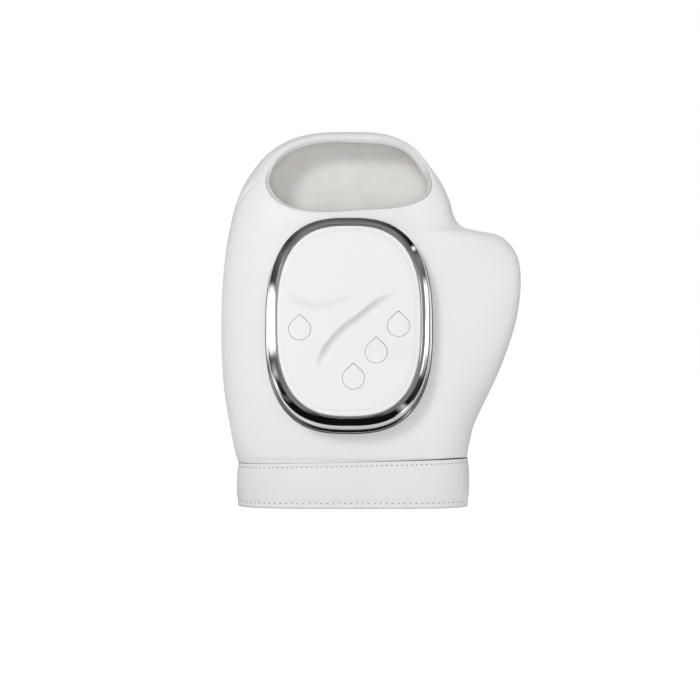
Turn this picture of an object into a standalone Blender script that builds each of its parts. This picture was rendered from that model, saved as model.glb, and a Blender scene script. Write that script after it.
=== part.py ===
"""Mitten-shaped hand massager.

A padded leather mitten stands on its wrist cuff. A hand goes in through the cuff, the fingertips show
in the oval opening at the top, and the thumb has its own lobe. A control module is clamped to the
back-of-hand side. It holds the battery, the air pump, the release valve, a vibration motor, the main
board and four push buttons. The air bags and heating pads lie in the mitten's walls.

+Z points to the fingertips, -Y to the module and +X to the thumb. All sizes are in metres.
"""

from math import acos, cos, pi, radians, sin

import bmesh
import bpy
import numpy as np

MM = 0.001

# Fits
GAP = 0.3 * MM
OVERRUN = 4 * MM
PROBE = 0.2 * MM

# Mitten: outer form
HEIGHT = 250 * MM
WIDTH = 201.9 * MM
FRONT_DEPTH = 56 * MM
REAR_DEPTH = 48 * MM
CENTRE_X = -WIDTH * 0.07925
FRONT_FULLNESS_LEFT = 2.6
FRONT_FULLNESS_RIGHT = 3.3
FRONT_FULLNESS_TOP = 4.6
FULLER_FROM = HEIGHT * 0.744
FULLER_TO = HEIGHT * 0.824
REAR_FULLNESS = 2.8
THUMB_THINNING_SHARE = 0.26
THUMB_THINNING_START = WIDTH * 0.1882
THUMB_THINNING_END = WIDTH * 0.4755

# Each pair is a share of the half width, or of the depth, and a share of the height.
LEFT_EDGE_SHARES = (
    (0.887, 0.114), (0.900, 0.128), (0.922, 0.168), (0.952, 0.235), (0.982, 0.320), (0.998, 0.423),
    (0.998, 0.540), (0.980, 0.651), (0.945, 0.747), (0.897, 0.820), (0.822, 0.883), (0.702, 0.940),
    (0.520, 0.982), (0.330, 0.998), (0.165, 1.000),
)
RIGHT_EDGE_SHARES = (
    (0.642, 0.114), (0.650, 0.160), (0.678, 0.213), (0.738, 0.275), (0.822, 0.348), (0.905, 0.430),
    (0.966, 0.504), (0.996, 0.585), (0.986, 0.656), (0.930, 0.701), (0.850, 0.727), (0.755, 0.735),
    (0.660, 0.742), (0.590, 0.755), (0.550, 0.780), (0.520, 0.820), (0.470, 0.865), (0.400, 0.907),
    (0.290, 0.956), (0.140, 0.988), (-0.010, 0.999), (-0.165, 1.000),
)
FRONT_PROFILE_SHARES = (
    (0.890, 0.124), (0.935, 0.142), (0.985, 0.200), (0.985, 0.300), (0.905, 0.440), (0.780, 0.600),
    (0.640, 0.755), (0.560, 0.830), (0.440, 0.893), (0.270, 0.944), (0.070, 0.980), (-0.050, 0.995),
    (-0.160, 1.000),
)
REAR_PROFILE_SHARES = (
    (0.920, 0.124), (0.950, 0.142), (0.985, 0.200), (1.000, 0.300), (1.000, 0.500), (0.975, 0.660),
    (0.925, 0.790), (0.850, 0.880), (0.720, 0.942), (0.530, 0.983), (0.350, 0.997), (0.187, 1.000),
)
CURVE_STEPS = 12

# Mitten: rows of the wall, level near the cuff and fanned out below the fingertip opening
CUFF_HEIGHT = HEIGHT * 0.122
FAN_HEIGHT = HEIGHT * 0.48
FAN_START_SHARE = 0.46
SEAM_SLANT_SHARE = 0.022
SEAM_SLANT_FADE = 0.2
OPENING_LOW = HEIGHT * 0.788
OPENING_HIGH = HEIGHT * 0.978
OPENING_YAW = radians(-1.5)
RAY_FLATNESS_SHARE = 0.6
HALVINGS = 36
WALL_COLUMNS = 32
WALL_ROW_SHARES = (
    0.0, 0.035, 0.1, 0.19, 0.3, 0.4, 0.5, 0.6, 0.68, 0.73, 0.77, 0.81, 0.85, 0.89, 0.935, 0.968, 0.992,
)
SEAM_GAP_ANGLE = radians(0.2)
SMOOTHING_STEPS = ((0, 0), (0.035, 0), (-0.035, 0), (0, radians(8)), (0, radians(-8)))

# On the thumb side the rows climb over the thumb. Each entry is a row share, the height its rays start
# from, the height they aim at, both as shares of the height, and how level the row is.
THUMB_ROW_SHARES = (
    (0.0, 0.124, 0.124, 1.0), (0.46, 0.480, 0.480, 1.0), (0.5, 0.490, 0.520, 1.0), (0.6, 0.500, 0.592, 1.0),
    (0.68, 0.510, 0.655, 1.0), (0.73, 0.515, 0.690, 1.0), (0.77, 0.520, 0.716, 1.0), (0.81, 0.525, 0.736, 1.0),
    (0.85, 0.540, 0.752, 0.9), (0.89, 0.640, 0.790, 0.6), (0.94, 0.760, 0.830, 0.3), (0.992, 0.868, 0.875, 0.05),
    (1.0, 0.882, 0.882, 0.0),
)
THUMB_FADE_START = 0.25
THUMB_FADE_RANGE = 0.65

# Mitten: layers, counted inwards from the outer form
LEATHER = 1.2 * MM
FOAM = 5 * MM
LINING = 0.8 * MM
HEM = 1.1 * MM
HEM_GAP_SHARE = 0.0016
SIDE_WALL = 10.8 * MM
REAR_WALL = 12.2 * MM
WALL_FADE = 22 * MM
CUFF_BLEND_SHARE = 0.1
OPENING_BLEND_SHARE = 0.2
FRONT_BLEND_SHARE = 0.054
FRONT_WALL_FADE = 0.5
CUFF_INNER_DROP = 8.5 * MM
CUFF_INNER_HEIGHT = CUFF_HEIGHT - CUFF_INNER_DROP
FOAM_END_SHARE = 0.955

# Air bags and heating pads in the walls
BACK_BAG_CLEARANCE = 1.3 * MM
BACK_BAG = 4.6 * MM
PALM_BAG_DEPTH = 7.1 * MM
PALM_BAG = 3.3 * MM
THUMB_BAG_DEPTH = 7.0 * MM
THUMB_BAG = 2.4 * MM
BAG_EDGE_SHARE = 0.3
PAD = 0.8 * MM
PAD_GAP = 0.5 * MM
PAD_COVER = 0.8 * MM
BACK_BAG_SHARES = WALL_ROW_SHARES[3:13]
PALM_BAG_SHARES = WALL_ROW_SHARES[3:12]
THUMB_BAG_SHARES = WALL_ROW_SHARES[5:9]
HOSE_RADIUS = 1.5 * MM
LINK_HOSE_SHARE = 0.42
LINK_HOSE_DEPTH = 8.7 * MM
LINK_HOSE_START = radians(-127)
LINK_HOSE_END = radians(-236)
LINK_HOSE_POINTS = 15

# Module: outline and tilt. It keeps its place between the cuff and the fingertip opening.
MODULE_X = -WIDTH * 0.0743
MODULE_SEAT_HEIGHT = HEIGHT * 0.4816
MODULE_LEAN = radians(1.1139)
PANEL_HALF_WIDTH = WIDTH * 0.2323
PANEL_HALF_LENGTH = HEIGHT * 0.2516
WALL_MARGIN = 15.1 * MM
WALL_FULL_WIDTH = PANEL_HALF_WIDTH + WALL_MARGIN
OUTLINE_FULLNESS = 2.7
OUTLINE_POINTS = 48

# Module: face panel and bezel. A rim is (outset from the panel's outline, depth below its top).
PANEL = 2 * MM
PANEL_RIMS = ((0, 1.5 * MM), (-0.5 * MM, 0.85 * MM), (-2.4 * MM, 0.45 * MM), (-14 * MM, 0.12 * MM), (-30 * MM, 0))
BEZEL_FLARE = 7.8 * MM
BEZEL_RIMS = (
    (0.3 * MM, 1.1 * MM), (0.9 * MM, 0.42 * MM), (2.4 * MM, 1.15 * MM), (4.0 * MM, 3.1 * MM),
    (5.3 * MM, 6.5 * MM), (6.2 * MM, 11.2 * MM), (6.9 * MM, 14.6 * MM),
)
BEZEL_FOOT = 2.2 * MM
BEZEL_FOOT_BULGE = 0.5 * MM
BEZEL_INSIDE = 0.3 * MM

# Module: cases, as outsets from the panel's outline and depths below its top
CASE_OUTSET = -0.1 * MM
CASE_WALL = 1.8 * MM
CASE_JOINT_DEPTH = 17.2 * MM
LEDGE_WIDTH = 3.4 * MM
LEDGE = 1.7 * MM
FLANGE = 2 * MM
TUB_OUTSET = -8.5 * MM
FLANGE_CLEARANCE = 0.8 * MM
RING_CLEARANCE = 0.748 * MM
WALL_HOLE_OUTSET = -3.5 * MM
PLATE = 1.8 * MM
PLATE_OUTSET = -0.6 * MM
PLATE_CLEARANCE = 0.4 * MM

# Screws
SCREW_OUTSET = -6.2 * MM
SCREW_SHANK = 1.0 * MM
SCREW_HOLE = 1.3 * MM
SCREW_HEAD = 1.9 * MM
SCREW_HEAD_HEIGHT = 1.2 * MM
SCREW_BITE = 5.5 * MM
BOSS_RADIUS = 2.3 * MM
CASE_SCREW_ANGLES = tuple(radians(a) for a in (40, 140, 220, 320))
MOUNT_SCREW_ANGLES = tuple(radians(a) for a in (62, 118, 242, 298))

# Buttons: drops with a round lower part and a pointed top
DROP_RADIUS = 7.4 * MM
DROP_TIP = 10.3 * MM
DROP_POINTS = 24
BUTTON_CLEARANCE = 0.35 * MM
BUTTON_FLANGE = 1.0 * MM
BUTTON_FLANGE_OUTSET = 1.1 * MM
BUTTON_STEM = 2.4 * MM
BUTTON_TRAVEL = 0.4 * MM
BUTTON_PLACE_SHARES = {
    "power": (-0.6805, -0.0942),
    "heat": (0.6876, -0.059),
    "pressure": (0.3775, -0.3335),
    "mode": (0.0631, -0.6062),
}
BUTTON_CENTRES = {name: (PANEL_HALF_WIDTH * x, PANEL_HALF_LENGTH * y) for name, (x, y) in BUTTON_PLACE_SHARES.items()}

# Board and switches
BOARD_DEPTH = 8.0 * MM
BOARD = 1.6 * MM
BOARD_CLEARANCE = 0.5 * MM
SWITCH_SIDE = 6 * MM
SWITCH_HEIGHT = 2.2 * MM
SWITCH_WELL_RADIUS = 1.9 * MM
PLUNGER_RADIUS = 1.6 * MM
PLUNGER_DROP = 0.65 * MM
CHIP_SIZE = (9 * MM, 9 * MM, 1.2 * MM)
CHIP_CENTRE = (-PANEL_HALF_WIDTH * 0.1706, PANEL_HALF_LENGTH * 0.318)
SOCKET_WIDTH = 9 * MM
SOCKET_HEIGHT = 3.3 * MM
SOCKET_LENGTH = 10.0 * MM
SOCKET_WALL = 0.35 * MM
SOCKET_BACK = 1.2 * MM
SOCKET_CLEARANCE = 0.35 * MM
SOCKET_REACH = 4.2 * MM

# Battery and its cradle
CRADLE = 1 * MM
CRADLE_LIP = 3.2 * MM
BATTERY_HEADROOM = 2.2 * MM
BATTERY_LENGTH = PANEL_HALF_LENGTH * 1.0334
BATTERY_NIB_RADIUS = 2.8 * MM
BATTERY_NIB = 1 * MM
BATTERY_X = -PANEL_HALF_WIDTH * 0.4307
BATTERY_Y = -PANEL_HALF_LENGTH * 0.0318

# Air pump, along the module's length
PUMP_X = PANEL_HALF_WIDTH * 0.4179
PUMP_Y = -PANEL_HALF_LENGTH * 0.477
PUMP_HEADROOM = 1.6 * MM
CAN_LENGTH = PANEL_HALF_LENGTH * 0.3975
CAN_WALL = 0.9 * MM
ARMATURE_CLEARANCE = 2.3 * MM
ARMATURE_ROOM = 11 * MM
ARMATURE_LENGTH = CAN_LENGTH - ARMATURE_ROOM
SHAFT_RADIUS = 1 * MM
SHAFT_HOLE = 1.3 * MM
END_PLATE = 1.4 * MM
CRANK_RADIUS = 3.6 * MM
CRANK_LENGTH = 3.5 * MM
CRANK_PIN_RADIUS = 0.7 * MM
CRANK_PIN_LENGTH = 3 * MM
CRANK_THROW = 1.1 * MM
HEAD_LENGTH = PANEL_HALF_LENGTH * 0.318
HEAD_WALL = 1.4 * MM
NOZZLE_RADIUS = 1.6 * MM
NOZZLE_LENGTH = 4 * MM
YOKE_CLEARANCE = 3.9 * MM
YOKE = 2 * MM
YOKE_BORE = 2.4 * MM
DIAPHRAGM = 1.6 * MM

# Release valve, across the module
VALVE_CENTRE = (PANEL_HALF_WIDTH * 0.0853, PANEL_HALF_LENGTH * 0.5962)
VALVE_LENGTH = 17 * MM
VALVE_SIDE = 9.6 * MM
VALVE_WALL = 1.1 * MM
VALVE_FLOOR_GAP = 0.6 * MM
COIL_RADIUS = 3.4 * MM
COIL_LENGTH = 8.5 * MM
PLUNGER_BORE = 1.9 * MM
ARMATURE_PIN_RADIUS = 1.6 * MM
ARMATURE_PIN_LENGTH = 10 * MM
VALVE_TRAVEL = 0.8 * MM
SPRING_WIRE = 0.25 * MM
SPRING_RADIUS = 1.2 * MM
SPRING_TURNS = 5
SPRING_SPARE = 0.1 * MM
SPRING_POINTS = 9

# Vibration motor, across the module
BUZZ_CENTRE = (-PANEL_HALF_WIDTH * 0.0853, -PANEL_HALF_LENGTH * 0.6916)
BUZZ_RADIUS = 3.5 * MM
BUZZ_LENGTH = 12 * MM
BUZZ_BORE = 0.9 * MM
BUZZ_SHAFT = 0.5 * MM
WEIGHT_RADIUS = 3.2 * MM
WEIGHT_LENGTH = 4 * MM
WEIGHT_GAP = 0.6 * MM
WEIGHT_ARC_POINTS = 12
ROUND_POINTS = 16
SCREW_POINTS = 10

COLOURS = {
    "white_leather": ((0.80, 0.80, 0.79), 0.55, 0.0),
    "grey_lining": ((0.62, 0.62, 0.60), 0.90, 0.0),
    "foam": ((0.72, 0.72, 0.74), 0.95, 0.0),
    "air_bag": ((0.45, 0.55, 0.62), 0.45, 0.0),
    "heating_film": ((0.75, 0.42, 0.12), 0.50, 0.0),
    "rubber_hose": ((0.70, 0.70, 0.68), 0.50, 0.0),
    "white_plastic": ((0.86, 0.86, 0.86), 0.30, 0.0),
    "chrome": ((0.78, 0.78, 0.79), 0.06, 1.0),
    "case_plastic": ((0.70, 0.70, 0.70), 0.45, 0.0),
    "steel": ((0.60, 0.60, 0.60), 0.30, 1.0),
    "circuit_board": ((0.02, 0.22, 0.10), 0.40, 0.0),
    "black_plastic": ((0.03, 0.03, 0.03), 0.45, 0.0),
    "battery_sleeve": ((0.10, 0.30, 0.55), 0.35, 0.0),
    "copper": ((0.72, 0.36, 0.20), 0.35, 1.0),
    "brass": ((0.75, 0.58, 0.25), 0.30, 1.0),
    "silicone": ((0.55, 0.55, 0.55), 0.60, 0.0),
}


# Scene and materials

def clear_scene():
    for obj in list(bpy.data.objects):
        bpy.data.objects.remove(obj)


def finish_of(name):
    """The material of that name, made when it is first asked for."""
    found = bpy.data.materials.get(name)
    if found:
        return found
    colour, roughness, metallic = COLOURS[name]
    made = bpy.data.materials.new(name)
    made.use_nodes = True
    shader = made.node_tree.nodes["Principled BSDF"]
    shader.inputs["Base Color"].default_value = (*colour, 1)
    shader.inputs["Roughness"].default_value = roughness
    shader.inputs["Metallic"].default_value = metallic
    made.diffuse_color = (*colour, 1)
    return made


def place(obj, finish, parent, location=(0, 0, 0), turn=(0, 0, 0)):
    bpy.context.scene.collection.objects.link(obj)
    obj.data.materials.append(finish_of(finish))
    obj.parent = parent
    obj.location = location
    obj.rotation_euler = turn
    return obj


def object_from(bm, name, finish, parent, location=(0, 0, 0), turn=(0, 0, 0)):
    """Turns a bmesh into a placed object with smooth round sides and sharp edges."""
    bmesh.ops.recalc_face_normals(bm, faces=bm.faces)
    mesh = bpy.data.meshes.new(name)
    bm.to_mesh(mesh)
    bm.free()
    mesh.shade_smooth()
    mesh.set_sharp_from_angle(angle=radians(35))
    return place(bpy.data.objects.new(name, mesh), finish, parent, location, turn)


# General shapes

def join_rings(bm, first, second):
    """A band of quads between two closed rings of as many points."""
    for i in range(len(first)):
        after = (i + 1) % len(first)
        bm.faces.new((first[i], first[after], second[after], second[i]))


def loft(name, rings, finish, parent, closed=False, location=(0, 0, 0), turn=(0, 0, 0)):
    """A solid through rings of points: capped at both ends, or closed on itself as a tube or a frame."""
    bm = bmesh.new()
    rows = [[bm.verts.new(point) for point in ring] for ring in rings]
    for first, second in zip(rows, rows[1:]):
        join_rings(bm, first, second)
    if closed:
        join_rings(bm, rows[-1], rows[0])
    else:
        bm.faces.new(rows[0])
        bm.faces.new(rows[-1])
    return object_from(bm, name, finish, parent, location, turn)


def box(name, size, centre, finish, parent):
    bm = bmesh.new()
    bmesh.ops.create_cube(bm, size=1)
    bmesh.ops.scale(bm, vec=size, verts=bm.verts)
    return object_from(bm, name, finish, parent, centre)


def circle(radius, along, count=ROUND_POINTS, centre=(0, 0)):
    turns = np.arange(count) * 2 * pi / count
    return [(centre[0] + radius * cos(t), centre[1] + radius * sin(t), along) for t in turns]


TURN_TO = {"z": (0, 0, 0), "-z": (pi, 0, 0), "x": (0, pi / 2, 0), "y": (-pi / 2, 0, 0)}


def turned(name, profile, finish, parent, axis, location, closed=False, count=ROUND_POINTS):
    """A turned piece from (radius, distance along its axis) stations."""
    rings = [circle(radius, along, count) for radius, along in profile]
    return loft(name, rings, finish, parent, closed, location, TURN_TO[axis])


def tube(name, points, radius, finish, parent, resolution=2):
    """A round tube or wire along points, with filled ends."""
    curve = bpy.data.curves.new(name, "CURVE")
    curve.dimensions = "3D"
    curve.bevel_depth = radius
    curve.bevel_resolution = resolution
    curve.use_fill_caps = True
    line = curve.splines.new("POLY")
    line.points.add(len(points) - 1)
    for knot, point in zip(line.points, points):
        knot.co = (*point, 1)
    return place(bpy.data.objects.new(name, curve), finish, parent)


def helper(obj):
    """Marks a cutter or a boss that only shapes its neighbour."""
    obj.hide_render = True
    obj.display_type = "WIRE"
    return obj


def shape_with(target, other, operation):
    change = target.modifiers.new(f"{operation.lower()} {other.name}", "BOOLEAN")
    change.operation = operation
    change.solver = "EXACT"
    change.object = helper(other)


def cut(target, cutter):
    shape_with(target, cutter, "DIFFERENCE")


def join(target, addition):
    shape_with(target, addition, "UNION")


# The mitten's outer form

def smooth_curve(points):
    """Points along a smooth curve that passes through hand-placed ones."""
    given = np.array(points, float)
    given = np.vstack([2 * given[0] - given[1], given, 2 * given[-1] - given[-2]])
    t = np.linspace(0, 1, CURVE_STEPS, endpoint=False)[:, None]
    spans = []
    for a, b, c, d in zip(given, given[1:], given[2:], given[3:]):
        square = 2 * a - 5 * b + 4 * c - d
        cube = 3 * b - a - 3 * c + d
        spans.append((2 * b + (c - a) * t + square * t**2 + cube * t**3) / 2)
    curve = np.vstack([*spans, given[-2:-1]])
    curve[:, 1] = np.maximum.accumulate(curve[:, 1])
    return curve


LEFT_EDGE = smooth_curve(LEFT_EDGE_SHARES) * (-WIDTH / 2, HEIGHT)
RIGHT_EDGE = smooth_curve(RIGHT_EDGE_SHARES) * (WIDTH / 2, HEIGHT)
FRONT_PROFILE = smooth_curve(FRONT_PROFILE_SHARES) * (-FRONT_DEPTH, HEIGHT)
REAR_PROFILE = smooth_curve(REAR_PROFILE_SHARES) * (REAR_DEPTH, HEIGHT)


def reach_at(curve, z):
    return np.interp(z, curve[:, 1], curve[:, 0])


def smooth_step(share):
    share = np.clip(share, 0, 1)
    return share * share * (3 - 2 * share)


def outside(points):
    """Above zero outside the mitten's outer form, below zero inside it."""
    x, y, z = points[..., 0], points[..., 1], points[..., 2]
    front, rear = reach_at(FRONT_PROFILE, z), reach_at(REAR_PROFILE, z)
    half_width = np.where(x < CENTRE_X, CENTRE_X - reach_at(LEFT_EDGE, z), reach_at(RIGHT_EDGE, z) - CENTRE_X)
    thumb = smooth_step((x - THUMB_THINNING_START) / (THUMB_THINNING_END - THUMB_THINNING_START))
    half_depth = (rear - front) / 2 * (1 - THUMB_THINNING_SHARE * thumb)
    centre_y = (front + rear) / 2
    fuller = np.interp(z, (FULLER_FROM, FULLER_TO), (FRONT_FULLNESS_RIGHT, FRONT_FULLNESS_TOP))
    front_fullness = np.where(x < CENTRE_X, FRONT_FULLNESS_LEFT, fuller)
    fullness = np.where(y < centre_y, front_fullness, REAR_FULLNESS)
    across = np.abs(x - CENTRE_X) / np.maximum(half_width, PROBE)
    deep = np.abs(y - centre_y) / np.maximum(half_depth, PROBE)
    above = np.maximum(z - HEIGHT, 0) / PROBE
    return across**fullness + deep**fullness + above - 1


def surface_along(starts, directions):
    """Where rays that start inside the mitten leave it."""
    low = np.zeros(directions.shape[:-1])
    high = np.full(directions.shape[:-1], WIDTH)
    for _ in range(HALVINGS):
        middle = (low + high) / 2
        inside = outside(starts + directions * middle[..., None]) < 0
        low = np.where(inside, middle, low)
        high = np.where(inside, high, middle)
    return starts + directions * low[..., None]


def normals_at(points):
    slopes = []
    for axis in np.eye(3):
        slopes.append(outside(points + axis * PROBE) - outside(points - axis * PROBE))
    slopes = np.stack(slopes, axis=-1)
    return slopes / np.linalg.norm(slopes, axis=-1, keepdims=True)


OPENING_LOW_POINT = np.array((CENTRE_X, reach_at(FRONT_PROFILE, OPENING_LOW), OPENING_LOW))
OPENING_HIGH_POINT = np.array((CENTRE_X, reach_at(FRONT_PROFILE, OPENING_HIGH), OPENING_HIGH))
OPENING_SLOPE = OPENING_HIGH_POINT - OPENING_LOW_POINT
FAN_PIVOT = OPENING_LOW_POINT - OPENING_SLOPE * (OPENING_LOW - FAN_HEIGHT) / OPENING_SLOPE[2]
FAN_ANGLE = np.arctan2(OPENING_SLOPE[2], OPENING_SLOPE[1])


def middle_at(height):
    """The middle of the mitten's thickness at a height."""
    return (reach_at(FRONT_PROFILE, height) + reach_at(REAR_PROFILE, height)) / 2


def station_at(height):
    """The row share of a level row at a height below the fan."""
    return (height - CUFF_HEIGHT) / (FAN_HEIGHT - CUFF_HEIGHT) * FAN_START_SHARE


def row_frame(share):
    """The middle of a row and its direction towards the rear, from 0 at the cuff to 1 at the opening."""
    if share <= FAN_START_SHARE:
        height = CUFF_HEIGHT + (FAN_HEIGHT - CUFF_HEIGHT) * share / FAN_START_SHARE
        return (CENTRE_X, middle_at(height), height), (0, 1, 0)
    fanned = (share - FAN_START_SHARE) / (1 - FAN_START_SHARE)
    deep = np.array((0, cos(FAN_ANGLE * fanned), sin(FAN_ANGLE * fanned)))
    first = middle_at(FAN_HEIGHT) - FAN_PIVOT[1]
    last = np.linalg.norm((OPENING_LOW_POINT + OPENING_HIGH_POINT) / 2 - FAN_PIVOT)
    return tuple(FAN_PIVOT + deep * (first + (last - first) * fanned)), tuple(deep)


def outer_grid(shares, angles):
    """Points on the outer form. Angle 0 is the thumb side, 90 degrees the palm and -90 the module."""
    shares, turns = np.array(shares), np.array(angles)[None, :, None]
    frames = [row_frame(share) for share in shares]
    starts = np.array([frame[0] for frame in frames])[:, None, :]
    deep = np.array([frame[1] for frame in frames])[:, None, :]
    rows, *columns = np.array(THUMB_ROW_SHARES).T
    start_height, aim_height, level = (np.interp(shares, rows, column)[:, None, None] for column in columns)
    start_height, aim_height = start_height * HEIGHT, aim_height * HEIGHT
    thumb = smooth_step((np.cos(turns) - THUMB_FADE_START) / THUMB_FADE_RANGE)
    up = np.array((0, 0, 1.0))
    climb = (aim_height - start_height) / (reach_at(RIGHT_EDGE, aim_height) - CENTRE_X)
    fanned = smooth_step((shares - FAN_START_SHARE) / (1 - FAN_START_SHARE))[:, None, None]
    slant = SEAM_SLANT_SHARE * (1 - smooth_step(shares / SEAM_SLANT_FADE))[:, None, None]
    outwards = np.cross(np.array((1.0, 0, 0)), deep)
    across = np.array((1.0, 0, 0)) + up * (climb * thumb + slant) - outwards * np.tan(OPENING_YAW) * fanned
    levelled = deep + (np.array((0, 1.0, 0)) - deep) * level * thumb
    rays = across * np.cos(turns) + levelled * RAY_FLATNESS_SHARE * np.sin(turns)
    rays = rays / np.linalg.norm(rays, axis=-1, keepdims=True)
    starts = starts + up * (start_height - starts[..., 2:]) * thumb
    return surface_along(np.broadcast_to(starts, rays.shape), rays)


def wall_grid(shares, angles):
    """Points on the outer form, and smoothed directions from them into the wall."""
    outwards = 0
    for rows, turn in SMOOTHING_STEPS:
        outwards = outwards + normals_at(outer_grid(np.array(shares) + rows, np.array(angles) + turn))
    return outer_grid(shares, angles), -outwards / np.linalg.norm(outwards, axis=-1, keepdims=True)


def layer(grid, depth):
    """The outer grid moved inwards by a depth, which may differ from point to point."""
    outer, inwards = grid
    return outer + inwards * np.broadcast_to(depth, outer.shape[:2])[..., None]


def lining_depth(grid, shares, angles):
    """How deep the lining lies: shallow at the cuff and the opening, deep behind the module and the palm."""
    beside = np.abs(grid[0][..., 0] - MODULE_X)
    full = smooth_step((WALL_FULL_WIDTH + WALL_FADE - beside) / WALL_FADE)
    front = smooth_step(-np.sin(angles)[None, :] / FRONT_WALL_FADE)
    thick = REAR_WALL + (FRONT_WALL - REAR_WALL) * front
    middle = SIDE_WALL + (thick - SIDE_WALL) * full
    shares = np.array(shares)[:, None]
    blend = OPENING_BLEND_SHARE + (FRONT_BLEND_SHARE - OPENING_BLEND_SHARE) * front
    from_cuff = smooth_step(shares / CUFF_BLEND_SHARE)
    from_opening = smooth_step((1 - shares) / blend)
    cuff_depth = LEATHER + FOAM + 2 * GAP
    opening_depth = LEATHER + GAP
    near_cuff = cuff_depth + (middle - cuff_depth) * from_cuff
    return opening_depth + (near_cuff - opening_depth) * from_opening


def full_turn():
    return np.arange(WALL_COLUMNS) * 2 * pi / WALL_COLUMNS


def half_turn(start):
    angles = start + np.arange(WALL_COLUMNS // 2 + 1) * 2 * pi / WALL_COLUMNS
    angles[0] += SEAM_GAP_ANGLE
    angles[-1] -= SEAM_GAP_ANGLE
    return angles


def shell(name, outer, inner, finish, parent, ring=False):
    """A solid between two grids of points, open or closed round the mitten."""
    bm = bmesh.new()
    rows, columns = outer.shape[:2]
    skins = []
    for grid in (outer, inner):
        skins.append([[bm.verts.new(point) for point in row] for row in grid])
    spans = [(j, (j + 1) % columns) for j in range(columns if ring else columns - 1)]
    for skin in skins:
        for first, second in zip(skin, skin[1:]):
            for j, after in spans:
                bm.faces.new((first[j], first[after], second[after], second[j]))
    out, into = skins
    for i in (0, rows - 1):
        for j, after in spans:
            bm.faces.new((out[i][j], out[i][after], into[i][after], into[i][j]))
    if not ring:
        for j in (0, columns - 1):
            for i in range(rows - 1):
                bm.faces.new((out[i][j], out[i + 1][j], into[i + 1][j], into[i][j]))
    return object_from(bm, name, finish, parent)


# The module's place on the leather, and its outlines

def front_slope(low, high):
    """The angle that the middle of the module's side leans back between two heights."""
    lean_y = reach_at(FRONT_PROFILE, high) - reach_at(FRONT_PROFILE, low)
    return np.arctan2(lean_y, high - low)


MODULE_TILT = MODULE_LEAN + front_slope(MODULE_SEAT_HEIGHT - PANEL_HALF_LENGTH, MODULE_SEAT_HEIGHT + PANEL_HALF_LENGTH)
SEAT = surface_along(np.array((MODULE_X, middle_at(MODULE_SEAT_HEIGHT), MODULE_SEAT_HEIGHT)), np.array((0.0, -1, 0)))
ALONG = np.array((0, sin(MODULE_TILT), cos(MODULE_TILT)))
OUTWARDS = np.array((0, -cos(MODULE_TILT), sin(MODULE_TILT)))


def outline(outset, depth, count=OUTLINE_POINTS):
    """A ring along the panel's outline, moved outwards by an outset, at a depth below the panel's top."""
    turns = np.arange(count) * 2 * pi / count
    power = 2 / OUTLINE_FULLNESS
    x = (PANEL_HALF_WIDTH + outset) * np.sign(np.cos(turns)) * np.abs(np.cos(turns)) ** power
    y = (PANEL_HALF_LENGTH + outset) * np.sign(np.sin(turns)) * np.abs(np.sin(turns)) ** power
    return np.column_stack([x, y, np.broadcast_to(-np.asarray(depth), count)])


def seat_depth(x, y, cover=0):
    """How far below the seat's plane the leather, or a layer under it, lies at points of the module's plan."""
    starts = SEAT + OUTWARDS * FRONT_DEPTH + np.asarray(x)[..., None] * (1.0, 0, 0) + np.asarray(y)[..., None] * ALONG
    low = np.zeros(np.shape(x))
    high = np.full(np.shape(x), 2 * FRONT_DEPTH)
    for _ in range(HALVINGS):
        middle = (low + high) / 2
        clear = outside(starts - OUTWARDS * middle[..., None]) > 0
        low = np.where(clear, middle, low)
        high = np.where(clear, high, middle)
    facing = normals_at(starts - OUTWARDS * low[..., None]) @ OUTWARDS
    return low - FRONT_DEPTH + cover / facing


def highest_under(outset):
    """How far the leather stands above the seat's plane under an outline, or below it where negative."""
    x, y, _ = outline(outset, 0).T
    return -seat_depth(x, y).min()


def deepest_under(outset, cover):
    """How far below the seat's plane a layer of the wall reaches under an outline."""
    x, y, _ = outline(outset, 0).T
    return seat_depth(x, y, cover).max()


# The flange clears the leather, and the ring lies behind the foam.
MODULE_RISE = CASE_JOINT_DEPTH + GAP + FLANGE + FLANGE_CLEARANCE + max(highest_under(CASE_OUTSET), 0)
TUB_DEPTH = MODULE_RISE + deepest_under(PLATE_OUTSET, LEATHER + GAP + FOAM) + RING_CLEARANCE + PLATE
BACK_BAG_DEPTH = TUB_DEPTH - MODULE_RISE + BACK_BAG_CLEARANCE
FRONT_WALL = BACK_BAG_DEPTH + BACK_BAG + PAD_GAP + PAD + PAD_COVER


def radius_under_board(headroom):
    """The radius of a round piece that lies in a cradle on the tub's floor, with headroom under the board."""
    room = TUB_DEPTH - CASE_WALL - CRADLE - 2 * GAP - BOARD_DEPTH - BOARD - headroom
    return room / 2


BATTERY_RADIUS = min(radius_under_board(BATTERY_HEADROOM), PANEL_HALF_WIDTH * 0.1962)
PUMP_RADIUS = min(radius_under_board(PUMP_HEADROOM), PANEL_HALF_WIDTH * 0.2026)
ARMATURE_RADIUS = PUMP_RADIUS - ARMATURE_CLEARANCE
YOKE_RADIUS = PUMP_RADIUS - YOKE_CLEARANCE


def module_frame(parent):
    """An empty at the middle of the panel's top: X to the thumb, Y up along the panel, Z out of it."""
    frame = bpy.data.objects.new("module_frame", None)
    bpy.context.scene.collection.objects.link(frame)
    frame.parent = parent
    frame.rotation_euler = (pi / 2 - MODULE_TILT, 0, 0)
    frame.location = SEAT + OUTWARDS * MODULE_RISE
    return frame


def leather_drop(x, y):
    """How far below the panel's top the leather lies, at points of the module's plan."""
    return MODULE_RISE + seat_depth(x, y)


# The mitten's layers

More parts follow.
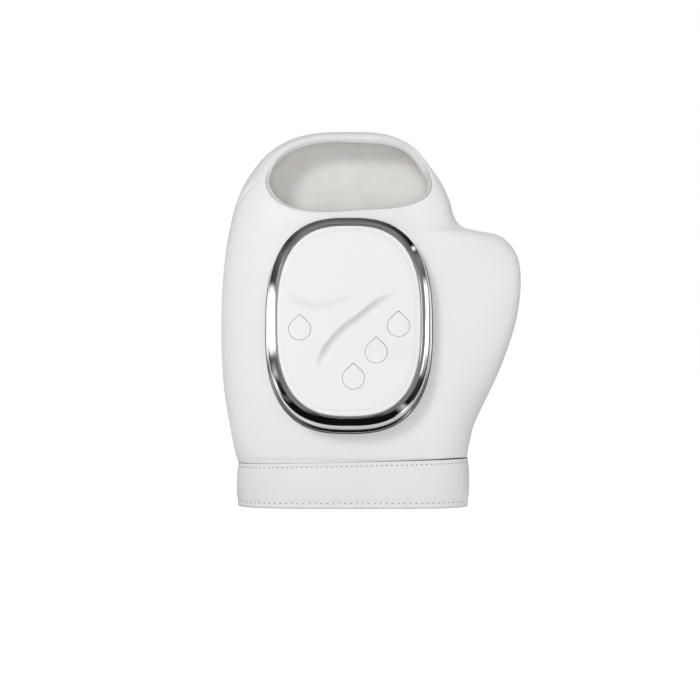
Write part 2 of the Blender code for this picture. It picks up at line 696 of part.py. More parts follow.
def make_leather(parent):
    made = []
    shares = np.array(WALL_ROW_SHARES)
    shares[0] = station_at(CUFF_HEIGHT + GAP)
    for name, start in (("front_leather", -pi), ("rear_leather", 0)):
        grid = wall_grid(shares, half_turn(start))
        made.append(shell(name, grid[0], layer(grid, LEATHER), "white_leather", parent))
    return made


def make_foam(parent):
    made = []
    shares = [share for share in WALL_ROW_SHARES if share < FOAM_END_SHARE]
    for name, start in (("front_foam", -pi), ("rear_foam", 0)):
        angles = half_turn(start)
        grid = wall_grid(shares, angles)
        top = LEATHER + GAP
        bottom = np.minimum(top + FOAM, lining_depth(grid, shares, angles) - GAP)
        made.append(shell(name, layer(grid, top), layer(grid, bottom), "foam", parent))
    return made


def make_lining(parent):
    shares = [station_at(CUFF_INNER_HEIGHT + GAP), *WALL_ROW_SHARES]
    angles = full_turn()
    grid = wall_grid(shares, angles)
    top = lining_depth(grid, shares, angles)
    return shell("lining", layer(grid, top), layer(grid, top + LINING), "grey_lining", parent, ring=True)


def make_opening_hem(parent):
    """The folded edge of the fingertip opening: a lip over the leather's end and a strip on the lining."""
    before, last = WALL_ROW_SHARES[-2:]
    lip = last + HEM_GAP_SHARE
    angles = full_turn()
    rings = []
    for share, thickness in ((lip, None), (1, None), (1, HEM), (last, HEM), (before, HEM), (before, 0), (last, 0),
                             (lip, 0)):
        grid = wall_grid([share], angles)
        on_lining = lining_depth(grid, [share], angles) + LINING + 2 * GAP
        rings.append(layer(grid, 0 if thickness is None else on_lining + thickness)[0])
    return loft("opening_hem", rings, "white_leather", parent, closed=True)


def make_cuff(parent):
    """The cuff band is one strip folded round the cuff's foam, so its section is a U."""
    angles = full_turn()
    grid = wall_grid([0], angles)

    def ring(depth, height):
        x, y, _ = layer(grid, depth)[0].T
        slant = SEAM_SLANT_SHARE * (x - CENTRE_X) if height >= CUFF_INNER_HEIGHT else 0
        return np.column_stack([x, y, 0 * x + height + slant])

    inside = LEATHER + FOAM + 2 * GAP
    band = [
        ring(0, CUFF_HEIGHT), ring(0, 0), ring(inside + LEATHER, 0), ring(inside + LEATHER, CUFF_INNER_HEIGHT),
        ring(inside, CUFF_INNER_HEIGHT), ring(inside, LEATHER), ring(LEATHER, LEATHER), ring(LEATHER, CUFF_HEIGHT),
    ]
    top = LEATHER + GAP
    core = [
        ring(top, CUFF_HEIGHT - GAP), ring(top, top), ring(top + FOAM, top), ring(top + FOAM, CUFF_HEIGHT - GAP),
    ]
    loft("cuff_band", band, "white_leather", parent, closed=True)
    loft("cuff_foam", core, "foam", parent, closed=True)


def make_bag(name, finish, parent, shares, middle, spread, depth, thickness, edge_share=0):
    """A flat bag or film on the wall's own rows and columns. Its edge is thinner by a share."""
    angles = (middle + np.arange(-spread, spread + 1)) * 2 * pi / WALL_COLUMNS
    grid = wall_grid(shares, angles)
    thin = np.zeros(grid[0].shape[:2])
    thin[[0, -1], :] = edge_share * thickness
    thin[:, [0, -1]] = edge_share * thickness
    return shell(name, layer(grid, depth + thin), layer(grid, depth + thickness - thin), finish, parent)


def make_bags(parent):
    back, palm, thumb = -WALL_COLUMNS // 4, WALL_COLUMNS // 4, 0
    make_bag("back_airbag", "air_bag", parent, BACK_BAG_SHARES, back, 3, BACK_BAG_DEPTH, BACK_BAG, BAG_EDGE_SHARE)
    make_bag("palm_airbag", "air_bag", parent, PALM_BAG_SHARES, palm, 3, PALM_BAG_DEPTH, PALM_BAG, BAG_EDGE_SHARE)
    make_bag("thumb_airbag", "air_bag", parent, THUMB_BAG_SHARES, thumb, 2, THUMB_BAG_DEPTH, THUMB_BAG,
             BAG_EDGE_SHARE)
    make_bag("back_heating_pad", "heating_film", parent, BACK_BAG_SHARES, back, 3,
             BACK_BAG_DEPTH + BACK_BAG + PAD_GAP, PAD)
    make_bag("palm_heating_pad", "heating_film", parent, PALM_BAG_SHARES, palm, 3,
             PALM_BAG_DEPTH + PALM_BAG + PAD_GAP, PAD)


def make_link_hose(parent):
    """The hose that joins the two big air bags round the little-finger side, inside the wall."""
    angles = np.linspace(LINK_HOSE_START, LINK_HOSE_END, LINK_HOSE_POINTS)
    path = layer(wall_grid([LINK_HOSE_SHARE], angles), LINK_HOSE_DEPTH)[0]
    return tube("link_hose", path, HOSE_RADIUS, "rubber_hose", parent)


# Places on the module

def on_outline(outset, angle):
    """The place on an outline that a direction from the module's middle meets."""
    power = OUTLINE_FULLNESS
    a, b = PANEL_HALF_WIDTH + outset, PANEL_HALF_LENGTH + outset
    reach = (abs(cos(angle) / a) ** power + abs(sin(angle) / b) ** power) ** (-1 / power)
    return reach * cos(angle), reach * sin(angle)


def drop_outline(outset, depth):
    """A ring along a button's outline: an arc and two straight sides that meet in its tip."""
    radius, tip = DROP_RADIUS + outset, DROP_TIP + outset * DROP_TIP / DROP_RADIUS
    side = acos(radius / tip)
    arc = np.linspace(pi / 2 + side, 5 * pi / 2 - side, DROP_POINTS - 1)
    points = [(radius * cos(t), radius * sin(t), -depth) for t in arc]
    return [*points, (0, tip, -depth)]


# The module's shells

def make_wall_cutter(parent):
    rings = [outline(WALL_HOLE_OUTSET, 0), outline(WALL_HOLE_OUTSET, TUB_DEPTH)]
    return loft("wall_hole_cutter", rings, "foam", parent)


def make_panel(parent):
    rings = [outline(outset, depth) for outset, depth in PANEL_RIMS]
    panel = loft("face_panel", [outline(0, PANEL), *rings], "white_plastic", parent)
    for name, (x, y) in BUTTON_CENTRES.items():
        rings = [drop_outline(0, -OVERRUN), drop_outline(0, PANEL + OVERRUN)]
        cut(panel, loft(f"{name}_hole_cutter", rings, "white_plastic", parent, location=(x, y, 0)))
    return panel


def make_bezel(parent):
    """The bright ring round the panel. Its foot follows the leather's curve."""
    foot = outline(BEZEL_FLARE, 0)
    drop = leather_drop(foot[:, 0], foot[:, 1]) - GAP
    inner_foot = outline(BEZEL_INSIDE, 0)
    inner_drop = leather_drop(inner_foot[:, 0], inner_foot[:, 1]) - GAP
    rings = [outline(outset, depth) for outset, depth in BEZEL_RIMS]
    rings.append(outline(BEZEL_FLARE, drop - BEZEL_FOOT))
    rings.append(outline(BEZEL_FLARE + BEZEL_FOOT_BULGE, drop - BEZEL_FOOT / 2))
    rings.append(outline(BEZEL_FLARE, drop))
    rings.append(outline(BEZEL_INSIDE, inner_drop))
    return loft("chrome_bezel", rings, "chrome", parent, closed=True)


def make_upper_case(parent):
    """The wall under the panel, with a ledge for the board and bosses for the case screws."""
    inner = CASE_OUTSET - CASE_WALL
    ledge_top = BOARD_DEPTH + BOARD + GAP
    rings = [
        outline(CASE_OUTSET, PANEL + GAP), outline(CASE_OUTSET, CASE_JOINT_DEPTH),
        outline(inner, CASE_JOINT_DEPTH), outline(inner, ledge_top + LEDGE),
        outline(inner - LEDGE_WIDTH, ledge_top + LEDGE), outline(inner - LEDGE_WIDTH, ledge_top),
        outline(inner, ledge_top), outline(inner, PANEL + GAP),
    ]
    case = loft("upper_case", rings, "case_plastic", parent, closed=True)
    for number, angle in enumerate(CASE_SCREW_ANGLES, 1):
        centre = on_outline(SCREW_OUTSET, angle)
        boss = [circle(BOSS_RADIUS, -depth, centre=centre) for depth in (CASE_JOINT_DEPTH, ledge_top + LEDGE / 2)]
        pilot = [
            circle(SCREW_HOLE, -depth, centre=centre)
            for depth in (CASE_JOINT_DEPTH + OVERRUN, CASE_JOINT_DEPTH - SCREW_BITE)
        ]
        join(case, loft(f"case_boss_{number}", boss, "case_plastic", parent))
        cut(case, loft(f"case_pilot_cutter_{number}", pilot, "case_plastic", parent))
    return case


def make_lower_case(parent):
    """The tub that holds the battery and the pump, with a flange over the leather and four long posts."""
    flange_top = CASE_JOINT_DEPTH + GAP
    flange_bottom = flange_top + FLANGE
    inner = TUB_OUTSET - CASE_WALL
    rings = [
        outline(inner, TUB_DEPTH - CASE_WALL), outline(inner, flange_top), outline(CASE_OUTSET, flange_top),
        outline(CASE_OUTSET, flange_bottom), outline(TUB_OUTSET, flange_bottom), outline(TUB_OUTSET, TUB_DEPTH),
    ]
    case = loft("lower_case", rings, "case_plastic", parent)
    plate_top = TUB_DEPTH - PLATE
    for number, angle in enumerate(MOUNT_SCREW_ANGLES, 1):
        centre = on_outline(SCREW_OUTSET, angle)
        post = [circle(BOSS_RADIUS, -depth, centre=centre) for depth in (flange_top + FLANGE / 2, plate_top - GAP)]
        pilot = [
            circle(SCREW_HOLE, -depth, centre=centre) for depth in (plate_top - SCREW_BITE, plate_top + OVERRUN)
        ]
        join(case, loft(f"mount_post_{number}", post, "case_plastic", parent))
        cut(case, loft(f"mount_pilot_cutter_{number}", pilot, "case_plastic", parent))
    for number, angle in enumerate(CASE_SCREW_ANGLES, 1):
        hole = [
            circle(SCREW_HOLE, -depth, centre=on_outline(SCREW_OUTSET, angle))
            for depth in (flange_top - OVERRUN / 2, flange_bottom + OVERRUN / 2)
        ]
        cut(case, loft(f"flange_hole_cutter_{number}", hole, "case_plastic", parent))
    hose_hole = [
        circle(HOSE_RADIUS + 2 * GAP, -depth, centre=back_hose_place())
        for depth in (TUB_DEPTH - CASE_WALL - OVERRUN / 2, TUB_DEPTH + OVERRUN)
    ]
    cut(case, loft("hose_hole_cutter", hose_hole, "case_plastic", parent))
    return case


def make_mounting_ring(parent):
    """The ring inside the mitten's wall that clamps foam and leather against the module's flange."""
    top, bottom = TUB_DEPTH - PLATE, TUB_DEPTH
    inner = TUB_OUTSET + PLATE_CLEARANCE
    rings = [outline(PLATE_OUTSET, top), outline(PLATE_OUTSET, bottom), outline(inner, bottom), outline(inner, top)]
    plate = loft("mounting_ring", rings, "case_plastic", parent, closed=True)
    for number, angle in enumerate(MOUNT_SCREW_ANGLES, 1):
        hole = [
            circle(SCREW_HOLE, -depth, centre=on_outline(SCREW_OUTSET, angle))
            for depth in (top - OVERRUN / 2, bottom + OVERRUN / 2)
        ]
        cut(plate, loft(f"ring_hole_cutter_{number}", hole, "case_plastic", parent))
    return plate


def make_screw(name, parent, angle, seat_depth, length):
    """A pan-head screw driven towards the panel, its head under a face at the seat depth."""
    x, y = on_outline(SCREW_OUTSET, angle)
    head = (
        (SCREW_HEAD * 0.8, -GAP - SCREW_HEAD_HEIGHT), (SCREW_HEAD, -GAP - SCREW_HEAD_HEIGHT / 2),
        (SCREW_HEAD, -GAP), (SCREW_SHANK, -GAP), (SCREW_SHANK, length - SCREW_SHANK),
        (SCREW_SHANK / 3, length),
    )
    return turned(name, head, "steel", parent, "z", (x, y, -seat_depth), count=SCREW_POINTS)


def make_screws(parent):
    flange_bottom = CASE_JOINT_DEPTH + GAP + FLANGE
    for number, angle in enumerate(CASE_SCREW_ANGLES, 1):
        make_screw(f"case_screw_{number}", parent, angle, flange_bottom, FLANGE + SCREW_BITE - 2 * GAP)
    for number, angle in enumerate(MOUNT_SCREW_ANGLES, 1):
        make_screw(f"mount_screw_{number}", parent, angle, TUB_DEPTH, PLATE + SCREW_BITE - 2 * GAP)


# Buttons, switches and the board

def make_button(name, parent):
    """A drop-shaped key: cap in the panel's hole, flange under the panel and stem on its switch."""
    flange_top = PANEL + GAP
    flange_bottom = flange_top + BUTTON_FLANGE
    stem_bottom = BOARD_DEPTH - GAP - SWITCH_HEIGHT - GAP / 2 - GAP
    turns = [np.arctan2(y, x) for x, y, _ in drop_outline(0, 0)]
    stem = [(BUTTON_STEM * cos(t), BUTTON_STEM * sin(t)) for t in turns]
    x, y = BUTTON_CENTRES[name]
    recess = PANEL_RIMS[-2][1]
    rings = [
        drop_outline(-2 * BUTTON_CLEARANCE, recess), drop_outline(-BUTTON_CLEARANCE, recess + BUTTON_CLEARANCE / 2),
        drop_outline(-BUTTON_CLEARANCE, flange_top), drop_outline(BUTTON_FLANGE_OUTSET, flange_top),
        drop_outline(BUTTON_FLANGE_OUTSET, flange_bottom), [(*p, -flange_bottom) for p in stem],
        [(*p, -stem_bottom) for p in stem],
    ]
    return loft(f"{name}_button", rings, "white_plastic", parent, location=(x, y, 0))


def make_switch(name, parent):
    """A tact switch: a square body with a round well, and the plunger that the button presses."""
    x, y = BUTTON_CENTRES[name]
    bottom = BOARD_DEPTH - GAP
    top = bottom - SWITCH_HEIGHT
    body = box(f"{name}_switch", (SWITCH_SIDE, SWITCH_SIDE, SWITCH_HEIGHT), (x, y, -(top + bottom) / 2),
               "black_plastic", parent)
    floor = top + PLUNGER_DROP + BUTTON_TRAVEL + GAP
    well = [circle(SWITCH_WELL_RADIUS, -depth) for depth in (top - OVERRUN / 2, floor)]
    cut(body, loft(f"{name}_well_cutter", well, "black_plastic", parent, location=(x, y, 0)))
    head = top - GAP / 2
    turned(f"{name}_plunger", ((PLUNGER_RADIUS, -top - PLUNGER_DROP), (PLUNGER_RADIUS, -head)),
           "silicone", parent, "z", (x, y, 0), count=SCREW_POINTS)


def make_board(parent):
    inner = CASE_OUTSET - CASE_WALL - BOARD_CLEARANCE
    loft("main_board", [outline(inner, BOARD_DEPTH), outline(inner, BOARD_DEPTH + BOARD)], "circuit_board", parent)
    width, length, height = CHIP_SIZE
    x, y = CHIP_CENTRE
    box("controller_chip", (width, length, height), (x, y, -BOARD_DEPTH + GAP + height / 2), "black_plastic", parent)


def slot_ring(width, height, along):
    """A ring with straight top and bottom and round ends, as a charging socket's mouth has."""
    radius, straight = height / 2, (width - height) / 2
    quarter = np.linspace(-pi / 2, pi / 2, 7)
    right = [(straight + radius * cos(t), radius * sin(t), along) for t in quarter]
    left = [(-straight - radius * cos(t), -radius * sin(t), along) for t in quarter]
    return [*right, *left]


def make_charging_socket(parent, walls):
    """The socket on the board's fingertip-side edge, and its slot in the case and the bezel."""
    end = PANEL_HALF_LENGTH + SOCKET_REACH
    height = -BOARD_DEPTH + GAP + SOCKET_HEIGHT / 2
    back = -SOCKET_LENGTH
    inner = SOCKET_WIDTH - 2 * SOCKET_WALL, SOCKET_HEIGHT - 2 * SOCKET_WALL
    rings = [
        slot_ring(*inner, back + SOCKET_BACK), slot_ring(*inner, 0),
        slot_ring(SOCKET_WIDTH, SOCKET_HEIGHT, 0), slot_ring(SOCKET_WIDTH, SOCKET_HEIGHT, back),
    ]
    loft("charging_socket", rings, "steel", parent, location=(0, end, height), turn=TURN_TO["y"])
    grown = SOCKET_WIDTH + 2 * SOCKET_CLEARANCE, SOCKET_HEIGHT + 2 * SOCKET_CLEARANCE
    slot = [slot_ring(*grown, back + GAP), slot_ring(*grown, 2 * OVERRUN)]
    cutter = loft("socket_slot_cutter", slot, "steel", parent, location=(0, end, height), turn=TURN_TO["y"])
    for wall in walls:
        cut(wall, cutter)


# Battery, pump, valve and vibration motor

def floor_depth():
    return TUB_DEPTH - CASE_WALL


def carried_depth(radius):
    """The depth of a round piece's axis when it lies in a cradle on the tub's floor."""
    return floor_depth() - GAP - CRADLE - GAP - radius


def make_cradle(name, parent, x, y, radius, length):
    """A saddle with a round bed, as long as needed, on the tub's floor."""
    depth = carried_depth(radius)
    bed = radius + GAP
    half = radius * 0.8
    reach = np.arcsin(half / bed)
    arc = np.linspace(-pi / 2 + reach, -pi / 2 - reach, 9)
    section = [(bed * cos(t), bed * sin(t)) for t in arc]
    bottom = -(floor_depth() - GAP - depth)
    section += [(-half - CRADLE, section[-1][1]), (-half - CRADLE, bottom), (half + CRADLE, bottom),
                (half + CRADLE, section[0][1])]
    rings = [[(px, along, pz) for px, pz in section] for along in (-length / 2, length / 2)]
    loft(name, rings, "case_plastic", parent, location=(x, y, -depth))


def make_battery(parent):
    depth = carried_depth(BATTERY_RADIUS)
    half = BATTERY_LENGTH / 2
    edge = BATTERY_RADIUS * 0.94
    profile = (
        (edge, -half), (BATTERY_RADIUS, -half + GAP), (BATTERY_RADIUS, half - GAP), (edge, half),
        (BATTERY_NIB_RADIUS, half), (BATTERY_NIB_RADIUS, half + BATTERY_NIB),
    )
    turned("battery_cell", profile, "battery_sleeve", parent, "y", (BATTERY_X, BATTERY_Y, -depth))
    make_cradle("battery_cradle", parent, BATTERY_X, BATTERY_Y, BATTERY_RADIUS, BATTERY_LENGTH / 2)


def make_pump(parent):
    """A motor drives a crank pin, which rocks the yoke on the diaphragm in the pump's head."""
    depth = carried_depth(PUMP_RADIUS)
    at = (PUMP_X, PUMP_Y, -depth)
    bore = PUMP_RADIUS - CAN_WALL
    can = (
        (SHAFT_HOLE, 0), (PUMP_RADIUS, 0), (PUMP_RADIUS, CAN_LENGTH), (bore, CAN_LENGTH),
        (bore, CAN_WALL), (SHAFT_HOLE, CAN_WALL),
    )
    turned("pump_motor_can", can, "steel", parent, "y", at, closed=True)
    plate_start = CAN_LENGTH + GAP
    plate_end = plate_start + END_PLATE
    plate = (
        (SHAFT_HOLE, plate_start), (PUMP_RADIUS, plate_start), (PUMP_RADIUS, plate_end), (SHAFT_HOLE, plate_end),
    )
    turned("pump_end_plate", plate, "steel", parent, "y", at, closed=True)
    armature_start = (CAN_LENGTH - ARMATURE_LENGTH) / 2
    armature_end = armature_start + ARMATURE_LENGTH
    crank_start = plate_end + 2 * GAP
    crank_end = crank_start + CRANK_LENGTH
    rings = [
        circle(SHAFT_RADIUS, GAP), circle(SHAFT_RADIUS, armature_start),
        circle(ARMATURE_RADIUS, armature_start), circle(ARMATURE_RADIUS, armature_end),
        circle(SHAFT_RADIUS, armature_end), circle(SHAFT_RADIUS, crank_start),
        circle(CRANK_RADIUS, crank_start), circle(CRANK_RADIUS, crank_end),
        circle(CRANK_PIN_RADIUS, crank_end, centre=(CRANK_THROW, 0)),
        circle(CRANK_PIN_RADIUS, crank_end + CRANK_PIN_LENGTH, centre=(CRANK_THROW, 0)),
    ]
    loft("pump_rotor", rings, "copper", parent, location=at, turn=TURN_TO["y"])
    head_start = plate_end + GAP
    head_end = head_start + HEAD_LENGTH
    bore = PUMP_RADIUS - HEAD_WALL
    head = (
        (bore, head_end - HEAD_WALL), (bore, head_start), (PUMP_RADIUS, head_start), (PUMP_RADIUS, head_end),
        (NOZZLE_RADIUS, head_end), (NOZZLE_RADIUS, head_end + NOZZLE_LENGTH),
    )
    turned("pump_head", head, "black_plastic", parent, "y", at)
    yoke_start = crank_end + GAP
    yoke = (
        (YOKE_BORE, yoke_start), (YOKE_RADIUS, yoke_start), (YOKE_RADIUS, yoke_start + YOKE),
        (YOKE_BORE, yoke_start + YOKE),
    )
    turned("pump_yoke", yoke, "black_plastic", parent, "y", at, closed=True)
    sheet_start = crank_end + CRANK_PIN_LENGTH + GAP
    neck = YOKE_RADIUS - 2 * GAP
    sheet = (
        (neck, yoke_start + YOKE + GAP), (neck, sheet_start), (bore - GAP, sheet_start),
        (bore - GAP, sheet_start + DIAPHRAGM), (YOKE_BORE, sheet_start + DIAPHRAGM),
        (YOKE_BORE, yoke_start + YOKE + GAP),
    )
    turned("pump_diaphragm", sheet, "silicone", parent, "y", at, closed=True)
    make_cradle("pump_cradle", parent, PUMP_X, PUMP_Y + CAN_LENGTH / 2, PUMP_RADIUS, CAN_LENGTH / 2)


def valve_depth():
    return floor_depth() - VALVE_FLOOR_GAP - VALVE_SIDE / 2


def back_hose_place():
    return VALVE_CENTRE[0], VALVE_CENTRE[1]


def make_valve(parent):
    """A solenoid valve: a frame with a round bore, a coil, and a plunger that a spring pushes back."""
    x, y = VALVE_CENTRE
    at = (x, y, -valve_depth())
    half = VALVE_LENGTH / 2
    frame = box("valve_frame", (VALVE_LENGTH, VALVE_SIDE, VALVE_SIDE), at, "steel", parent)
    bore = COIL_RADIUS + GAP
    pocket = [circle(bore, -half + VALVE_WALL), circle(bore, half + OVERRUN)]
    cut(frame, loft("valve_pocket_cutter", pocket, "steel", parent, location=at, turn=TURN_TO["x"]))
    coil_start = half - COIL_LENGTH - GAP
    coil = (
        (PLUNGER_BORE, coil_start), (COIL_RADIUS, coil_start), (COIL_RADIUS, half - GAP), (PLUNGER_BORE, half - GAP),
    )
    turned("valve_coil", coil, "copper", parent, "x", at, closed=True)
    spring_start = -half + VALVE_WALL + GAP
    spring_length = SPRING_TURNS * 2 * SPRING_WIRE + VALVE_TRAVEL + SPRING_SPARE
    pin_start = spring_start + spring_length + GAP
    pin = ((ARMATURE_PIN_RADIUS, pin_start), (ARMATURE_PIN_RADIUS, pin_start + ARMATURE_PIN_LENGTH))
    turned("valve_plunger", pin, "steel", parent, "x", at)
    turns = np.arange(SPRING_TURNS * SPRING_POINTS + 1) * 2 * pi / SPRING_POINTS
    rise = (spring_length - 2 * SPRING_WIRE) / (SPRING_TURNS * 2 * pi)
    start = x + spring_start + SPRING_WIRE
    wire = [
        (start + rise * t, y + SPRING_RADIUS * cos(t), -valve_depth() + SPRING_RADIUS * sin(t)) for t in turns
    ]
    tube("valve_spring", wire, SPRING_WIRE, "steel", parent, resolution=0)


def make_hoses(parent):
    """The hose from the pump to the valve, and the one from the valve to the back air bag."""
    pump_end = PUMP_Y + CAN_LENGTH + 2 * GAP + END_PLATE + HEAD_LENGTH + NOZZLE_LENGTH + GAP
    valve_face = VALVE_CENTRE[1] - VALVE_SIDE / 2 - GAP
    start = np.array((PUMP_X, pump_end, -carried_depth(PUMP_RADIUS)))
    end = np.array((VALVE_CENTRE[0] + VALVE_LENGTH / 4, valve_face, -valve_depth()))
    lead = np.array((0, HOSE_RADIUS, 0))
    share = np.linspace(0, 1, 7)
    span = end - start - 2 * lead
    path = start + lead + span * np.column_stack([smooth_step(share), share, smooth_step(share)])
    tube("pump_hose", [start, *path, end], HOSE_RADIUS, "rubber_hose", parent)
    x, y = back_hose_place()
    bag = leather_drop(np.array(x), np.array(y)) + BACK_BAG_DEPTH - GAP
    top = valve_depth() + VALVE_SIDE / 2 + GAP
    tube("back_hose", [(x, y, -top), (x, y, -bag)], HOSE_RADIUS, "rubber_hose", parent)


def make_vibration_motor(parent):
    x, y = BUZZ_CENTRE
    at = (x, y, -carried_depth(BUZZ_RADIUS))
    end = BUZZ_LENGTH / 2
    can = (
        (BUZZ_BORE, -end + GAP + BUZZ_BORE), (BUZZ_BORE, end), (BUZZ_RADIUS, end), (BUZZ_RADIUS, -end),
    )
    turned("vibration_motor", can, "steel", parent, "x", at)
    start = end + WEIGHT_GAP
    flat = np.linspace(-pi / 2, pi / 2, WEIGHT_ARC_POINTS)
    back = np.linspace(pi / 2, 3 * pi / 2, WEIGHT_ARC_POINTS)[1:-1]
    both = [*flat, *back]

    def weight_ring(along):
        hub = 2 * BUZZ_SHAFT
        reach = [WEIGHT_RADIUS] * len(flat) + [hub] * len(back)
        return [(r * cos(t), r * sin(t), along) for r, t in zip(reach, both)]

    def shaft_ring(along):
        return [(BUZZ_SHAFT * cos(t), BUZZ_SHAFT * sin(t), along) for t in both]

    rings = [shaft_ring(-end / 2), shaft_ring(start), weight_ring(start), weight_ring(start + WEIGHT_LENGTH)]
    loft("vibration_weight", rings, "brass", parent, location=at, turn=TURN_TO["x"])
    make_cradle_across("vibration_bracket", parent, x, y, BUZZ_RADIUS, BUZZ_LENGTH / 2)


def make_cradle_across(name, parent, x, y, radius, length):
    make_cradle(name, parent, x, y, radius, length)
    bpy.data.objects[name].rotation_euler = (0, 0, pi / 2)


def centre_on_origin(root):
    """Moves the whole object so that its origin is in the middle of its width and its depth."""
    bpy.context.view_layer.update()
    graph = bpy.context.evaluated_depsgraph_get()
    low, high = np.full(3, WIDTH), np.full(3, -WIDTH)
    for obj in bpy.data.objects:
        if obj.type == "MESH" and not obj.hide_render:
            shown = obj.evaluated_get(graph)
            points = np.array([obj.matrix_world @ vertex.co for vertex in shown.data.vertices])
            low, high = np.minimum(low, points.min(axis=0)), np.maximum(high, points.max(axis=0))
    middle = (low + high) / 2
    root.location = (-middle[0], -middle[1], 0)
    print(f"moved by {-middle[0] / MM:.3f} mm in width and {-middle[1] / MM:.3f} mm in depth")


def main():
    clear_scene()
    root = bpy.data.objects.new("massager_frame", None)
    bpy.context.scene.collection.objects.link(root)
    module = module_frame(root)
    bpy.context.view_layer.update()

    front_leather, _ = make_leather(root)
    front_foam, _ = make_foam(root)
    make_lining(root)
    make_opening_hem(root)
    make_cuff(root)
    make_bags(root)
    make_link_hose(root)
    hole = make_wall_cutter(module)
    cut(front_leather, hole)
    cut(front_foam, hole)

    make_panel(module)
    bezel = make_bezel(module)
    upper_case = make_upper_case(module)
    make_lower_case(module)
    make_mounting_ring(module)
    make_screws(module)
    for name in BUTTON_CENTRES:
        make_button(name, module)
        make_switch(name, module)
    make_board(module)
    make_charging_socket(module, (bezel, upper_case))
    make_battery(module)
    make_pump(module)
    make_valve(module)
    make_hoses(module)
    make_vibration_motor(module)
    centre_on_origin(root)


main()
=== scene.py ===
# %% [markdown]
# # A mitten-shaped hand massager, dressed for the studio
#
# The real object is a padded mitten in white imitation leather. It stands on its wrist cuff, has an oval
# opening for the fingertips at the top, and carries a control module in a bright ring on the back of the
# hand. The imported model gives every solid its place. This lesson lays soft, stitched and polished pieces
# over those solids, and gives each solid that stays a finish of its own.
#

# %% Load the imported model
from math import acos, cos, pi, radians, sin

import bmesh
import bpy
import numpy as np
from mathutils import Matrix, Vector


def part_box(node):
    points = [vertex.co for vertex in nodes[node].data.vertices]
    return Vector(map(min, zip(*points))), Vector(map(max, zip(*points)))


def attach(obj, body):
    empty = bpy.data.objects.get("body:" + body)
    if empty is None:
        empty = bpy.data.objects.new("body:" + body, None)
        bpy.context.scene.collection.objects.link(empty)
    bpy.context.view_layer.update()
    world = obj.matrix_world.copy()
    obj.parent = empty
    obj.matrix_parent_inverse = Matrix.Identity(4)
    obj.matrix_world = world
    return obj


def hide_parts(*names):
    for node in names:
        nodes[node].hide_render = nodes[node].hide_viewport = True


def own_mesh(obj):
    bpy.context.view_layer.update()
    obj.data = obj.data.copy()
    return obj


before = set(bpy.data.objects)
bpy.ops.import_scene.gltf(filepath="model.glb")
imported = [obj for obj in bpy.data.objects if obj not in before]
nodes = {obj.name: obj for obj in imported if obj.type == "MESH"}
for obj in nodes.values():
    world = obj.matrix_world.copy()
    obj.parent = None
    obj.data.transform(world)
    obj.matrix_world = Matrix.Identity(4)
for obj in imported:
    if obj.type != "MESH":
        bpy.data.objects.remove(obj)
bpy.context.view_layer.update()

MM = 0.001

# %% [markdown]
# ## The mitten's form
#
# Real leather is cut flat and sewn round a foam block, so its outside is one smooth closed form. It could
# be sculpted by hand, but then it would never meet the solids exactly. Here the same few tables that shaped
# the solids give the form again: two side edges, a front and a rear profile, and how full the section is.
# A point is outside the mitten where `outside` is above zero.

# %% Tables of the outer form
HEIGHT, WIDTH = 250 * MM, 201.9 * MM
FRONT_DEPTH, REAR_DEPTH = 56 * MM, 48 * MM
CENTRE_X = -WIDTH * 0.07925
FRONT_FULLNESS_LEFT, FRONT_FULLNESS_RIGHT, FRONT_FULLNESS_TOP = 2.6, 3.3, 4.6
FULLER_FROM, FULLER_TO = HEIGHT * 0.744, HEIGHT * 0.824
REAR_FULLNESS = 2.8
THUMB_THINNING_SHARE = 0.26
THUMB_THINNING_START, THUMB_THINNING_END = WIDTH * 0.1882, WIDTH * 0.4755
PROBE = 0.2 * MM

LEFT_EDGE_SHARES = (
    (0.887, 0.114), (0.900, 0.128), (0.922, 0.168), (0.952, 0.235), (0.982, 0.320), (0.998, 0.423),
    (0.998, 0.540), (0.980, 0.651), (0.945, 0.747), (0.897, 0.820), (0.822, 0.883), (0.702, 0.940),
    (0.520, 0.982), (0.330, 0.998), (0.165, 1.000),
)
RIGHT_EDGE_SHARES = (
    (0.642, 0.114), (0.650, 0.160), (0.678, 0.213), (0.738, 0.275), (0.822, 0.348), (0.905, 0.430),
    (0.966, 0.504), (0.996, 0.585), (0.986, 0.656), (0.930, 0.701), (0.850, 0.727), (0.755, 0.735),
    (0.660, 0.742), (0.590, 0.755), (0.550, 0.780), (0.520, 0.820), (0.470, 0.865), (0.400, 0.907),
    (0.290, 0.956), (0.140, 0.988), (-0.010, 0.999), (-0.165, 1.000),
)
FRONT_PROFILE_SHARES = (
    (0.890, 0.124), (0.935, 0.142), (0.985, 0.200), (0.985, 0.300), (0.905, 0.440), (0.780, 0.600),
    (0.640, 0.755), (0.560, 0.830), (0.440, 0.893), (0.270, 0.944), (0.070, 0.980), (-0.050, 0.995),
    (-0.160, 1.000),
)
REAR_PROFILE_SHARES = (
    (0.920, 0.124), (0.950, 0.142), (0.985, 0.200), (1.000, 0.300), (1.000, 0.500), (0.975, 0.660),
    (0.925, 0.790), (0.850, 0.880), (0.720, 0.942), (0.530, 0.983), (0.350, 0.997), (0.187, 1.000),
)

